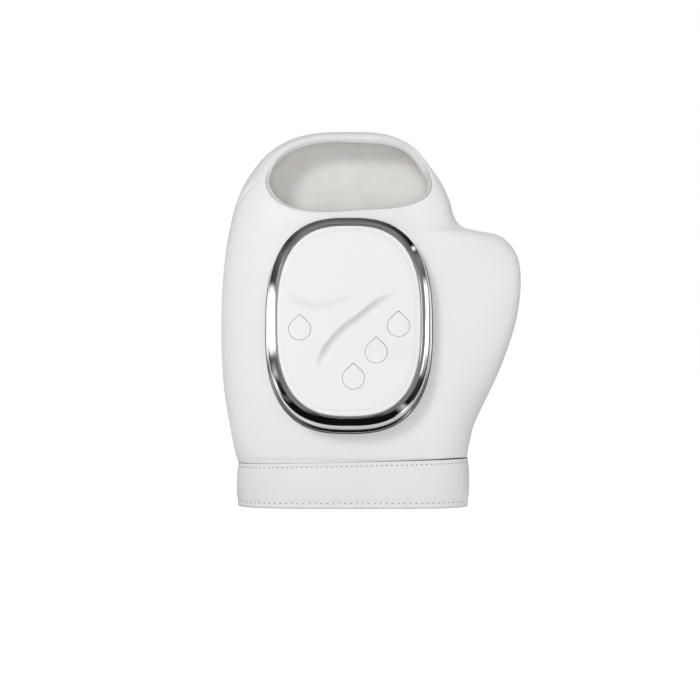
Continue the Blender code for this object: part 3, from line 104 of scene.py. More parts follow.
# %% Smooth curves through the tables, and the test for a point outside the form
def smooth_curve(points, steps=12):
    """Points along a smooth curve that passes through given ones."""
    given = np.array(points, float)
    given = np.vstack([2 * given[0] - given[1], given, 2 * given[-1] - given[-2]])
    t = np.linspace(0, 1, steps, endpoint=False)[:, None]
    spans = []
    for a, b, c, d in zip(given, given[1:], given[2:], given[3:]):
        square = 2 * a - 5 * b + 4 * c - d
        cube = 3 * b - a - 3 * c + d
        spans.append((2 * b + (c - a) * t + square * t**2 + cube * t**3) / 2)
    return np.vstack([*spans, given[-2:-1]])


def edge_curve(shares, reach):
    curve = smooth_curve(shares) * (reach, HEIGHT)
    curve[:, 1] = np.maximum.accumulate(curve[:, 1])
    return curve


LEFT_EDGE = edge_curve(LEFT_EDGE_SHARES, -WIDTH / 2)
RIGHT_EDGE = edge_curve(RIGHT_EDGE_SHARES, WIDTH / 2)
FRONT_PROFILE = edge_curve(FRONT_PROFILE_SHARES, -FRONT_DEPTH)
REAR_PROFILE = edge_curve(REAR_PROFILE_SHARES, REAR_DEPTH)


def reach_at(curve, z):
    return np.interp(z, curve[:, 1], curve[:, 0])


def smooth_step(share):
    share = np.clip(share, 0, 1)
    return share * share * (3 - 2 * share)


def outside(points):
    """Above zero outside the mitten's outer form, below zero inside it."""
    x, y, z = points[..., 0], points[..., 1], points[..., 2]
    front, rear = reach_at(FRONT_PROFILE, z), reach_at(REAR_PROFILE, z)
    half_width = np.where(x < CENTRE_X, CENTRE_X - reach_at(LEFT_EDGE, z), reach_at(RIGHT_EDGE, z) - CENTRE_X)
    thumb = smooth_step((x - THUMB_THINNING_START) / (THUMB_THINNING_END - THUMB_THINNING_START))
    half_depth = (rear - front) / 2 * (1 - THUMB_THINNING_SHARE * thumb)
    centre_y = (front + rear) / 2
    fuller = np.interp(z, (FULLER_FROM, FULLER_TO), (FRONT_FULLNESS_RIGHT, FRONT_FULLNESS_TOP))
    front_fullness = np.where(x < CENTRE_X, FRONT_FULLNESS_LEFT, fuller)
    fullness = np.where(y < centre_y, front_fullness, REAR_FULLNESS)
    across = np.abs(x - CENTRE_X) / np.maximum(half_width, PROBE)
    deep = np.abs(y - centre_y) / np.maximum(half_depth, PROBE)
    above = np.maximum(z - HEIGHT, 0) / PROBE
    return across**fullness + deep**fullness + above - 1


print(f"the form is {len(LEFT_EDGE)} points down the left edge and {len(RIGHT_EDGE)} round the thumb")

# %% [markdown]
# ## Rows and columns over the form
#
# A tailor marks a form with level lines and upright lines before cutting. The rows here are level at the
# cuff and fan out until the last one is the rim of the fingertip opening, and the columns go round. Every
# padded piece is laid on these lines, so neighbours always share an edge. `wall_grid` also gives the
# direction into the wall at each point, smoothed over its surroundings, so that inner layers don't cross
# in the tight curve between thumb and fingers.

# %% Rows, columns and layers
CUFF_HEIGHT, FAN_HEIGHT = HEIGHT * 0.122, HEIGHT * 0.48
FAN_START_SHARE = 0.46
SEAM_SLANT_SHARE, SEAM_SLANT_FADE = 0.022, 0.2
OPENING_LOW, OPENING_HIGH = HEIGHT * 0.788, HEIGHT * 0.978
OPENING_YAW = radians(-1.5)
RAY_FLATNESS_SHARE = 0.6
HALVINGS = 32
SMOOTHING_STEPS = ((0, 0), (0.035, 0), (-0.035, 0), (0, radians(8)), (0, radians(-8)))
# Row share, height where its rays start, height at which they aim, and how level they stay at the thumb.
THUMB_ROW_SHARES = (
    (0.0, 0.124, 0.124, 1.0), (0.46, 0.480, 0.480, 1.0), (0.5, 0.490, 0.520, 1.0), (0.6, 0.500, 0.592, 1.0),
    (0.68, 0.510, 0.655, 1.0), (0.73, 0.515, 0.690, 1.0), (0.77, 0.520, 0.716, 1.0), (0.81, 0.525, 0.736, 1.0),
    (0.85, 0.540, 0.752, 0.9), (0.89, 0.640, 0.790, 0.6), (0.94, 0.760, 0.830, 0.3), (0.992, 0.868, 0.875, 0.05),
    (1.0, 0.882, 0.882, 0.0),
)
THUMB_FADE_START, THUMB_FADE_RANGE = 0.25, 0.65


def surface_along(starts, directions):
    """Where rays that start inside the mitten leave it."""
    low = np.zeros(directions.shape[:-1])
    high = np.full(directions.shape[:-1], WIDTH)
    for _ in range(HALVINGS):
        middle = (low + high) / 2
        inside = outside(starts + directions * middle[..., None]) < 0
        low, high = np.where(inside, middle, low), np.where(inside, high, middle)
    return starts + directions * low[..., None]


def normals_at(points):
    slopes = [outside(points + axis * PROBE) - outside(points - axis * PROBE) for axis in np.eye(3)]
    slopes = np.stack(slopes, axis=-1)
    return slopes / np.linalg.norm(slopes, axis=-1, keepdims=True)


def middle_at(height):
    return (reach_at(FRONT_PROFILE, height) + reach_at(REAR_PROFILE, height)) / 2


def station_at(height):
    """The row share of a level row at a height below the fan."""
    return (height - CUFF_HEIGHT) / (FAN_HEIGHT - CUFF_HEIGHT) * FAN_START_SHARE


opening_low = np.array((CENTRE_X, reach_at(FRONT_PROFILE, OPENING_LOW), OPENING_LOW))
opening_high = np.array((CENTRE_X, reach_at(FRONT_PROFILE, OPENING_HIGH), OPENING_HIGH))
opening_slope = opening_high - opening_low
fan_pivot = opening_low - opening_slope * (OPENING_LOW - FAN_HEIGHT) / opening_slope[2]
fan_angle = np.arctan2(opening_slope[2], opening_slope[1])


def row_frame(share):
    """The middle of a row and its direction towards the rear, from 0 at the cuff to 1 at the opening."""
    if share <= FAN_START_SHARE:
        height = CUFF_HEIGHT + (FAN_HEIGHT - CUFF_HEIGHT) * share / FAN_START_SHARE
        return (CENTRE_X, middle_at(height), height), (0, 1, 0)
    fanned = (share - FAN_START_SHARE) / (1 - FAN_START_SHARE)
    deep = np.array((0, cos(fan_angle * fanned), sin(fan_angle * fanned)))
    first = middle_at(FAN_HEIGHT) - fan_pivot[1]
    last = np.linalg.norm((opening_low + opening_high) / 2 - fan_pivot)
    return tuple(fan_pivot + deep * (first + (last - first) * fanned)), tuple(deep)


def outer_grid(shares, angles):
    """Points on the outer form. Angle 0 is the thumb side, 90 degrees the palm and -90 the module."""
    shares, turns = np.array(shares), np.array(angles)[None, :, None]
    frames = [row_frame(share) for share in shares]
    starts = np.array([row[0] for row in frames])[:, None, :]
    deep = np.array([row[1] for row in frames])[:, None, :]
    rows, *columns = np.array(THUMB_ROW_SHARES).T
    start_height, aim_height, level = (np.interp(shares, rows, column)[:, None, None] for column in columns)
    start_height, aim_height = start_height * HEIGHT, aim_height * HEIGHT
    thumb = smooth_step((np.cos(turns) - THUMB_FADE_START) / THUMB_FADE_RANGE)
    side, up = np.array((1.0, 0, 0)), np.array((0, 0, 1.0))
    climb = (aim_height - start_height) / (reach_at(RIGHT_EDGE, aim_height) - CENTRE_X)
    fanned = smooth_step((shares - FAN_START_SHARE) / (1 - FAN_START_SHARE))[:, None, None]
    slant = SEAM_SLANT_SHARE * (1 - smooth_step(shares / SEAM_SLANT_FADE))[:, None, None]
    across = side + up * (climb * thumb + slant) - np.cross(side, deep) * np.tan(OPENING_YAW) * fanned
    levelled = deep + (np.array((0, 1.0, 0)) - deep) * level * thumb
    rays = across * np.cos(turns) + levelled * RAY_FLATNESS_SHARE * np.sin(turns)
    rays = rays / np.linalg.norm(rays, axis=-1, keepdims=True)
    starts = starts + up * (start_height - starts[..., 2:]) * thumb
    return surface_along(np.broadcast_to(starts, rays.shape), rays)


def wall_grid(shares, angles):
    """Points on the outer form, and smoothed directions from them into the wall."""
    outwards = 0
    for rows, turn in SMOOTHING_STEPS:
        outwards = outwards + normals_at(outer_grid(np.array(shares) + rows, np.array(angles) + turn))
    return outer_grid(shares, angles), -outwards / np.linalg.norm(outwards, axis=-1, keepdims=True)


def layer(grid, depth):
    """The grid moved into the wall by a depth, which may differ from point to point."""
    return grid[0] + grid[1] * np.broadcast_to(depth, grid[0].shape[:2])[..., None]


def full_turn(count):
    """Angles all round. The last is the first again, so the sheet can be sewn closed."""
    return np.linspace(0, 2 * pi, count + 1)


cuff_low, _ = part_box("cuff_band")
lowest = outer_grid([0], full_turn(32)[:-1])[0].min(axis=0)
SHIFT = np.array((cuff_low.x - lowest[0], cuff_low.y - lowest[1], 0))
print(f"the form is moved by {np.round(SHIFT / MM, 3)} mm to meet the solids")

# %% [markdown]
# ## Helpers for modelling by operator
#
# Blender's operators act on whatever is selected, and the loaded solids arrive selected. So each helper
# first deselects everything. A sheet starts as a grid primitive whose points are laid on the form, and a
# ring starts as a circle primitive that is extruded from station to station. An attribute remembers which
# point is which, because an extrusion copies it to the new points.

# %% Selecting, laying and extruding
def nothing_chosen():
    if bpy.context.object and bpy.context.object.mode != "OBJECT":
        bpy.ops.object.mode_set(mode="OBJECT")
    bpy.ops.object.select_all(action="DESELECT")


def choose(piece):
    nothing_chosen()
    piece.select_set(True)
    bpy.context.view_layer.objects.active = piece
    return piece


def named(name):
    """Names the primitive that an operator has just added, and puts its place into its mesh."""
    piece = bpy.context.object
    piece.name = piece.data.name = name
    bpy.ops.object.transform_apply(location=True, rotation=True, scale=True)
    return piece


def apply_modifiers(piece):
    choose(piece)
    for modifier in list(piece.modifiers):
        bpy.ops.object.modifier_apply(modifier=modifier.name)
    return piece


def smooth_shaded(piece, angle=radians(40)):
    choose(piece)
    bpy.ops.object.shade_smooth_by_angle(angle=angle)
    return piece


def merged(piece, distance=0.01 * MM, outwards=True):
    """Sews points that lie on each other and turns the faces outwards."""
    choose(piece)
    bpy.ops.object.mode_set(mode="EDIT")
    bpy.ops.mesh.select_all(action="SELECT")
    bpy.ops.mesh.remove_doubles(threshold=distance)
    if outwards:
        bpy.ops.mesh.normals_make_consistent(inside=False)
    bpy.ops.object.mode_set(mode="OBJECT")
    return piece


def points_of(piece):
    flat = np.empty(len(piece.data.vertices) * 3)
    piece.data.vertices.foreach_get("co", flat)
    return flat.reshape(-1, 3)


def put_points(piece, points):
    piece.data.vertices.foreach_set("co", np.asarray(points, float).reshape(-1))
    piece.data.update()


def laid_sheet(name, points):
    """A grid primitive laid on a table of points: rows go up, columns go round."""
    rows, columns = points.shape[:2]
    nothing_chosen()
    bpy.ops.mesh.primitive_grid_add(x_subdivisions=columns - 1, y_subdivisions=rows - 1, size=WIDTH)
    sheet = named(name)
    put_points(sheet, points)
    return sheet


def remember_places(piece):
    place = piece.data.attributes.new("place", "INT", "POINT")
    place.data.foreach_set("value", np.arange(len(piece.data.vertices)))


def extruded_to(piece, points):
    """Extrudes what is selected in edit mode, and puts each new point where the table says."""
    bpy.ops.mesh.extrude_region_move()
    mesh = bmesh.from_edit_mesh(piece.data)
    place = mesh.verts.layers.int["place"]
    for vertex in mesh.verts:
        if vertex.select:
            vertex.co = points[vertex[place]]
    bmesh.update_edit_mesh(piece.data)


def walled(name, outer, inner):
    """A solid wall between two tables of points: the inner sheet is laid, and extruded to the outer one."""
    piece = laid_sheet(name, inner)
    remember_places(piece)
    bpy.ops.object.mode_set(mode="EDIT")
    bpy.ops.mesh.select_all(action="SELECT")
    extruded_to(piece, outer.reshape(-1, 3))
    bpy.ops.object.mode_set(mode="OBJECT")
    return merged(piece)


def lofted(name, rings, ends="fill"):
    """A circle primitive extruded through rings of points. Its ends are filled or joined."""
    nothing_chosen()
    bpy.ops.mesh.primitive_circle_add(vertices=len(rings[0]), radius=1)
    piece = named(name)
    put_points(piece, rings[0])
    remember_places(piece)
    bpy.ops.object.mode_set(mode="EDIT")
    bpy.ops.mesh.select_mode(type="EDGE")
    bpy.ops.mesh.select_all(action="SELECT")
    if ends == "fill":
        bpy.ops.mesh.edge_face_add()
        bpy.ops.mesh.select_all(action="SELECT")
    for ring in rings[1:]:
        extruded_to(piece, np.asarray(ring))
    if ends == "join":
        bpy.ops.mesh.select_all(action="DESELECT")
        bpy.ops.mesh.select_non_manifold(extend=False)
        bpy.ops.mesh.bridge_edge_loops()
    bpy.ops.mesh.select_mode(type="VERT")
    bpy.ops.object.mode_set(mode="OBJECT")
    return merged(piece)


def cut_with(piece, cutter):
    """A boolean cut, applied, after which the cutter is thrown away."""
    modifier = piece.modifiers.new("cut", "BOOLEAN")
    modifier.operation, modifier.solver, modifier.object = "DIFFERENCE", "EXACT", cutter
    apply_modifiers(piece)
    bpy.data.objects.remove(cutter)
    return piece


def open_edges(piece):
    """How many edges don't have exactly two faces. A closed piece has none."""
    mesh = bmesh.new()
    mesh.from_mesh(piece.data)
    count = sum(len(edge.link_faces) != 2 for edge in mesh.edges)
    mesh.free()
    return count


def finished(piece, material, slot, *replaced, body="massager", pad=None):
    """Gives a piece its material, its place on a body, and the solids that it stands for. Its slot is not used."""
    piece.data.materials.clear()
    piece.data.materials.append(material)
    if "place" in piece.data.attributes:
        piece.data.attributes.remove(piece.data.attributes["place"])
    if replaced:
        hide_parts(*replaced)
    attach(piece, body)
    low, high = points_of(piece).min(axis=0) / MM, points_of(piece).max(axis=0) / MM
    print(f"{piece.name}: {len(piece.data.polygons)} faces, {open_edges(piece)} open edges, "
          f"{low.round(1)} to {high.round(1)} mm")
    return piece

# %% [markdown]
# ## Finishes
#
# A finish is a small node tree: a colour that varies a little, a roughness that varies a little, and a bump
# at the real scale. All patterns read Object coordinates, which are metres here, so a scale of 1000 is one
# cell per millimetre. `finish` makes the shader and the two patterns for colour and roughness; most materials
# then add a bump of their own, and each says what its own surface looks like.

# %% A shader with mottled colour, uneven gloss and fine bump
def finish(name, colour, roughness, mottle=(60, 0.02), uneven=(120, 0.05), metallic=0.0, specular=0.5):
    """A new material. Mottle and uneven are (patches per metre, how much) for colour and roughness."""
    material = bpy.data.materials.new(name)
    material.use_nodes = True
    tree = material.node_tree
    shader = tree.nodes["Principled BSDF"]
    shader.inputs["Metallic"].default_value = metallic
    shader.inputs["Specular IOR Level"].default_value = specular
    place = tree.nodes.new("ShaderNodeTexCoord").outputs["Object"]
    patches = noise(tree, place, mottle[0], detail=3)
    dark = tuple(channel * (1 - mottle[1]) for channel in colour)
    light = tuple(min(channel * (1 + mottle[1]), 1) for channel in colour)
    shade = ramp(tree, patches, ((0.3, dark), (0.7, light)))
    tree.links.new(shade, shader.inputs["Base Color"])
    gloss = noise(tree, place, uneven[0], detail=4)
    spread = tree.nodes.new("ShaderNodeMapRange")
    spread.inputs["To Min"].default_value = max(roughness - uneven[1], 0)
    spread.inputs["To Max"].default_value = min(roughness + uneven[1], 1)
    tree.links.new(gloss, spread.inputs["Value"])
    tree.links.new(spread.outputs["Result"], shader.inputs["Roughness"])
    return material, tree, shader, place


def noise(tree, place, scale, detail=2.0):
    node = tree.nodes.new("ShaderNodeTexNoise")
    node.inputs["Scale"].default_value = scale
    node.inputs["Detail"].default_value = detail
    tree.links.new(place, node.inputs["Vector"])
    return node.outputs["Fac"]


def cells(tree, place, scale, feature="DISTANCE_TO_EDGE"):
    node = tree.nodes.new("ShaderNodeTexVoronoi")
    node.feature = feature
    node.inputs["Scale"].default_value = scale
    tree.links.new(place, node.inputs["Vector"])
    return node.outputs["Distance"]


def bands(tree, place, scale, direction="X", distortion=0.0, profile="SIN"):
    node = tree.nodes.new("ShaderNodeTexWave")
    node.bands_direction, node.wave_profile = direction, profile
    node.inputs["Scale"].default_value = scale
    node.inputs["Distortion"].default_value = distortion
    tree.links.new(place, node.inputs["Vector"])
    return node.outputs["Fac"]


def ramp(tree, value, stops):
    """A colour ramp from (position, colour) stops."""
    node = tree.nodes.new("ShaderNodeValToRGB")
    while len(node.color_ramp.elements) < len(stops):
        node.color_ramp.elements.new(0.5)
    for element, (position, colour) in zip(node.color_ramp.elements, stops):
        element.position, element.color = position, (*colour, 1)
    tree.links.new(value, node.inputs["Fac"])
    return node.outputs["Color"]


def combined(tree, first, second, operation="ADD"):
    node = tree.nodes.new("ShaderNodeMath")
    node.operation = operation
    for socket, value in zip(node.inputs, (first, second)):
        if isinstance(value, (int, float)):
            socket.default_value = value
        else:
            tree.links.new(value, socket)
    return node.outputs["Value"]


def bump(tree, shader, height, distance, strength=1.0):
    """Bump of a real height in metres, laid over any bump that is already there."""
    node = tree.nodes.new("ShaderNodeBump")
    node.inputs["Strength"].default_value = strength
    node.inputs["Distance"].default_value = distance
    tree.links.new(height, node.inputs["Height"])
    before = shader.inputs["Normal"].links
    if before:
        tree.links.new(before[0].from_socket, node.inputs["Normal"])
    tree.links.new(node.outputs["Normal"], shader.inputs["Normal"])


def darkened_by(tree, shader, attribute, tone):
    """Multiplies the shader's colour by a tone where a mesh attribute is one."""
    amount = tree.nodes.new("ShaderNodeAttribute")
    amount.attribute_name = attribute
    mix = tree.nodes.new("ShaderNodeMix")
    mix.data_type, mix.blend_type = "RGBA", "MULTIPLY"  # its colours are inputs 6 and 7 and output 2
    tree.links.new(amount.outputs["Fac"], mix.inputs[0])
    tree.links.new(shader.inputs["Base Color"].links[0].from_socket, mix.inputs[6])
    mix.inputs[7].default_value = (tone, tone, tone, 1)
    tree.links.new(mix.outputs[2], shader.inputs["Base Color"])


def grained(name, colour, roughness, mottle, grain, height_mm, strength=0.5, detail=3, metallic=0.0):
    """A finish whose only bump is a fine noise: grain in patches per metre, height in millimetres."""
    material, tree, shader, place = finish(name, colour, roughness, mottle=mottle, metallic=metallic)
    bump(tree, shader, noise(tree, place, grain, detail=detail), height_mm * MM, strength)
    return material


# %% [markdown]
# ### White imitation leather
#
# The coating is pressed with a fine pebble grain and has a soft, slightly uneven sheen. Cells with rounded
# edges give the pebbles and a larger noise gives the padding's faint waviness. The cuff is the same cloth
# from a cooler batch, so the same function makes both.

# %% Leather for the mitten and for the cuff
def leather(name, colour):
    material, tree, shader, place = finish(name, colour, 0.50, mottle=(34, 0.012), uneven=(210, 0.06), specular=0.42)
    pebbles = cells(tree, place, 950)
    softened = combined(tree, pebbles, 0.28, "MINIMUM")
    fine = noise(tree, place, 2600, detail=2)
    bump(tree, shader, combined(tree, softened, combined(tree, fine, 0.12, "MULTIPLY")), 0.10 * MM, 0.35)
    bump(tree, shader, noise(tree, place, 38, detail=1), 0.7 * MM, 0.25)
    return material


mitten_leather = leather("white_leather", (0.80, 0.80, 0.785))
cuff_leather = leather("cuff_leather", (0.735, 0.732, 0.745))
facing_leather = leather("facing_leather", (0.80, 0.80, 0.785))
# The lip beside the opening and the facing inside it are painted darker where an attribute of the edge strip says so:
# painted shade of the opening.
darkened_by(facing_leather.node_tree, facing_leather.node_tree.nodes["Principled BSDF"], "painted_edge_shade", 0.70)


# %% [markdown]
# ### Sewing thread and needle holes
#
# Thread is two twisted plies, which read as slanted ridges, and each needle hole is a small dent whose grey
# is painted shade of the hole.

# %% Thread and needle holes
thread, tree, shader, place = finish("white_thread", (0.83, 0.83, 0.82), 0.65, mottle=(400, 0.04))
bump(tree, shader, bands(tree, place, 900, "DIAGONAL"), 0.08 * MM, 0.8)

# Both hole colours are painted shade: the dark inside a needle hole.
needle_hole = finish("needle_hole", (0.22, 0.22, 0.22), 0.85, mottle=(900, 0.15))[0]
soft_hole_shade = grained("soft_needle_hole_shade", (0.5, 0.5, 0.49), 0.85, (900, 0.15), 3000, 0.05, strength=1.0, detail=2)

# %% [markdown]
# ### Knitted lining
#
# The inside is a thin warm-grey knit, but its colour here is nearly white: painted light, which lifts the
# shaded hollow behind the opening. Two crossed wave textures give its ribs and courses, and the sheen lobe of
# the shader gives the soft edge that a brushed cloth has.

# %% Lining cloth
# Its colour is painted light: much lighter than the grey knit, so that the hollow inside reads bright.
lining_cloth, tree, shader, place = finish("knitted_lining", (0.93, 0.925, 0.905), 0.88, mottle=(90, 0.03))
ribs = bands(tree, place, 620, "X", distortion=0.6)
courses = bands(tree, place, 480, "Z", distortion=0.8)
bump(tree, shader, combined(tree, ribs, courses, "MULTIPLY"), 0.18 * MM, 0.6)
shader.inputs["Sheen Weight"].default_value = 0.25
shader.inputs["Sheen Roughness"].default_value = 0.5

# %% [markdown]
# ### Moulded white panel, bright ring and the rest of the module
#
# The panel is satin plastic with the faint texture of its mould. The ring is plated plastic, almost a
# mirror, with a trace of polishing haze. Chrome has no colour of its own to speak of, so it lives from what
# it reflects, which the studio cell provides.

# %% Panel plastic, button plastic and plating
panel_plastic, tree, shader, place = finish("panel_plastic", (0.755, 0.755, 0.76), 0.40, mottle=(45, 0.006),
                                            uneven=(300, 0.04), specular=0.35)
# Along the two grooves the panel's colour is painted darker: painted shade in the grooves.
darkened_by(tree, shader, "painted_groove_shade", 0.72)
bump(tree, shader, noise(tree, place, 1500, detail=3), 0.02 * MM, 0.35)

plating, tree, shader, place = finish("bright_plating", (0.78, 0.78, 0.79), 0.05, mottle=(70, 0.01),
                                      uneven=(90, 0.02), metallic=1.0)
bump(tree, shader, noise(tree, place, 160, detail=1), 0.02 * MM, 0.2)

# %% [markdown]
# ### Inner materials
#
# Open-cell foam, translucent air-bag film, printed heating film and soft hose are plain soft goods. The
# module's solids are moulded, turned, stamped or wound, and each family has its own mark: fine spark-eroded
# grain on the case, turning lines on steel, tracks on the board, windings on copper.

# %% Soft inner materials
foam, tree, shader, place = finish("open_foam", (0.62, 0.62, 0.65), 0.95, mottle=(300, 0.05))
bump(tree, shader, cells(tree, place, 1400, "F1"), 0.3 * MM, 0.7)

bag_film = grained("bag_film", (0.55, 0.60, 0.66), 0.38, (50, 0.04), 220, 0.25)
warm_film, tree, shader, place = finish("warm_film", (0.66, 0.36, 0.10), 0.42, mottle=(60, 0.04))
bump(tree, shader, bands(tree, place, 55, "X", distortion=1.5), 0.08 * MM, 0.6)

hose_rubber = grained("hose_rubber", (0.58, 0.58, 0.56), 0.5, (120, 0.04), 900, 0.05, detail=2)
silicone = grained("silicone", (0.70, 0.68, 0.66), 0.48, (150, 0.03), 1200, 0.03, detail=2)

# %% Moulded, turned, stamped and wound materials
case_plastic = grained("case_plastic", (0.66, 0.66, 0.65), 0.45, (80, 0.02), 2400, 0.04, strength=0.6)
black_plastic = grained("black_plastic", (0.028, 0.028, 0.03), 0.42, (200, 0.12), 2200, 0.03)

steel, tree, shader, place = finish("turned_steel", (0.50, 0.50, 0.51), 0.27, mottle=(300, 0.05), metallic=1.0)
bump(tree, shader, bands(tree, place, 1500, "Y", distortion=0.3), 0.02 * MM, 0.5)

brass = grained("brass", (0.66, 0.46, 0.17), 0.25, (300, 0.06), 1800, 0.02, metallic=1.0)

copper, tree, shader, place = finish("wound_copper", (0.70, 0.30, 0.14), 0.34, mottle=(500, 0.06), metallic=1.0)
bump(tree, shader, bands(tree, place, 1600, "Z"), 0.12 * MM, 0.9)

battery_sleeve = grained("battery_sleeve", (0.04, 0.14, 0.42), 0.30, (60, 0.05), 350, 0.08)

board, tree, shader, place = finish("circuit_board", (0.015, 0.12, 0.045), 0.35, mottle=(90, 0.12))
tracks = combined(tree, bands(tree, place, 260, "X", distortion=2.0, profile="TRI"), 0.55, "GREATER_THAN")
bump(tree, shader, tracks, 0.04 * MM, 0.8)

# %% [markdown]
# ## The leather of the mitten
#
# The mitten's outside is two cut pieces, one over the back of the hand and one over the palm, sewn down both
# sides. The foam behind pushes the leather out everywhere but at its seams. So each piece is laid close to
# the form, a little fuller under the thumb, its edges are turned in, and Blender's cloth solver blows it out
# over 20 frames while its edges are held. A cap on each point's move keeps the shape of the form.

# %% Rows and columns that crowd towards the seams
def eased(count, ease):
    """Steps from 0 to 1 that are closer together at both ends."""
    t = np.linspace(0, 1, count)
    return t - ease * np.sin(2 * pi * t) / (2 * pi)


GAP = 0.3 * MM
LEATHER = 1.2 * MM
SWELL = 1.3 * MM
SEAM_DEPTH = 1.5 * MM
SEAM_REACH = 5.5 * MM
CUFF_SEAM_DEPTH = 0.45 * MM
SWELL_SHARE_AT_CUFF, SEAM_CLEARANCE = 0.35, 0.04 * MM
CALM_AT_CUFF, CALM_AT_RIM = 3 * SEAM_REACH, 4 * SEAM_REACH
GROWTH, THUMB_GROWTH, GROWTH_FADE = 1.1 * MM, 1.3 * MM, 8 * MM
THUMB_GROWTH_START, THUMB_GROWTH_RANGE = 0.3, 0.7
THUMB_GROWTH_HEIGHT, THUMB_GROWTH_SPREAD = 0.36, 0.13
RISE, RISE_FROM, RISE_OVER = 2.0 * MM, 0.895 * HEIGHT, 0.08 * HEIGHT
PANEL_HALF_WIDTH, PANEL_HALF_LENGTH = WIDTH * 0.2323, HEIGHT * 0.2516
OUTLINE_FULLNESS = 2.7
module_x, seat_height = -WIDTH * 0.0743, HEIGHT * 0.4816
RIM_TURN, RIM_REACH = 1.0 * MM, 2.2 * MM
LEATHER_END_SHARE = 0.992
RIM_SHARES = (0.9925, 0.9990, 0.9950, 0.9990)
SEAM_GAP_ANGLE = radians(0.03)
SHEET_ROWS, SHEET_COLUMNS = 110, 131


def span(points, line):
    return np.linalg.norm(points - line, axis=-1)


def turned_in(distance, depth, reach):
    """How deep a point lies near a seam: the full depth on the seam, nothing at its reach."""
    share = np.clip(distance / reach, 0, 1)
    return depth * (1 - np.sqrt(share * (2 - share)))


def rim_share(angles):
    """Where the leather ends at the opening: earlier on the thumb side, last on the module side."""
    corners = np.radians((-180, -90, 0, 90, 180))
    thumb, palm, little, module = RIM_SHARES
    turned = (np.array(angles) + pi) % (2 * pi) - pi
    place = (turned - corners[0]) / (pi / 2)
    before = np.clip(place.astype(int), 0, 3)
    values = np.array((little, module, thumb, palm, little))
    return values[before] + (values[before + 1] - values[before]) * smooth_step(place - before)


def ended_at(grid, shares, ends):
    """The grid with each column stretched or shortened, so that it ends at a share of its own."""
    wanted = shares[0] + (shares - shares[0])[:, None] * (ends - shares[0])[None] / (shares[-1] - shares[0])
    stretched = []
    for table in grid:
        columns = [np.column_stack([np.interp(wanted[:, j], shares, table[:, j, axis]) for axis in range(3)])
                   for j in range(table.shape[1])]
        stretched.append(np.stack(columns, axis=1))
    return tuple(stretched)


def raised(points):
    """The points in the shared frame. Near the fingertips the padding lifts the rim a little."""
    points = np.array(points)
    points[..., 2] += RISE * smooth_step((points[..., 2] - RISE_FROM) / RISE_OVER)
    return points + SHIFT


def growth(outer, angles):
    """How far the padding lifts the leather above the form: least at the module, most under the thumb."""
    wide, long = PANEL_HALF_WIDTH + GROWTH_FADE, PANEL_HALF_LENGTH + GROWTH_FADE
    across, along = np.abs(outer[..., 0] - module_x) / wide, np.abs(outer[..., 2] - seat_height) / long
    reach = (across**OUTLINE_FULLNESS + along**OUTLINE_FULLNESS) ** (1 / OUTLINE_FULLNESS)
    clear = np.where(outer[..., 1] < 0, smooth_step((reach - 1) * wide / GROWTH_FADE), 1)
    thumb_side = smooth_step((np.cos(angles)[None] - THUMB_GROWTH_START) / THUMB_GROWTH_RANGE)
    thumb_level = np.exp(-(((outer[..., 2] / HEIGHT - THUMB_GROWTH_HEIGHT) / THUMB_GROWTH_SPREAD) ** 2))
    return GROWTH * clear + THUMB_GROWTH * (thumb_side * thumb_level)


def leather_sheet(name, start):
    first = station_at(CUFF_HEIGHT + SEAM_CLEARANCE)
    shares = first + (1 - first) * eased(SHEET_ROWS, 0.6)
    angles = start + SEAM_GAP_ANGLE + (pi - 2 * SEAM_GAP_ANGLE) * eased(SHEET_COLUMNS, 0.75)
    grid = ended_at(wall_grid(shares, angles), shares, rim_share(angles))
    outer = grid[0]
    side = np.minimum(span(outer, outer[:, :1]), span(outer, outer[:, -1:]))
    cuff = span(outer, outer[:1])
    rim = span(outer, outer[-1:])
    near_cuff = smooth_step(cuff / CALM_AT_CUFF)
    swell = SWELL * (SWELL_SHARE_AT_CUFF + (1 - SWELL_SHARE_AT_CUFF) * near_cuff)
    depth = swell - growth(outer, angles) * near_cuff
    depth += turned_in(side, SEAM_DEPTH, SEAM_REACH) + turned_in(cuff, CUFF_SEAM_DEPTH, SEAM_REACH)
    depth = depth * smooth_step(rim / CALM_AT_RIM) + turned_in(rim, RIM_TURN, RIM_REACH)
    sheet = laid_sheet(name, raised(layer(grid, depth)))
    held = np.ones(outer.shape[:2], bool)
    held[2:-2, 2:-2] = False
    held |= rim < SEAM_REACH / 2
    return sheet, held.reshape(-1), -grid[1].reshape(-1, 3)


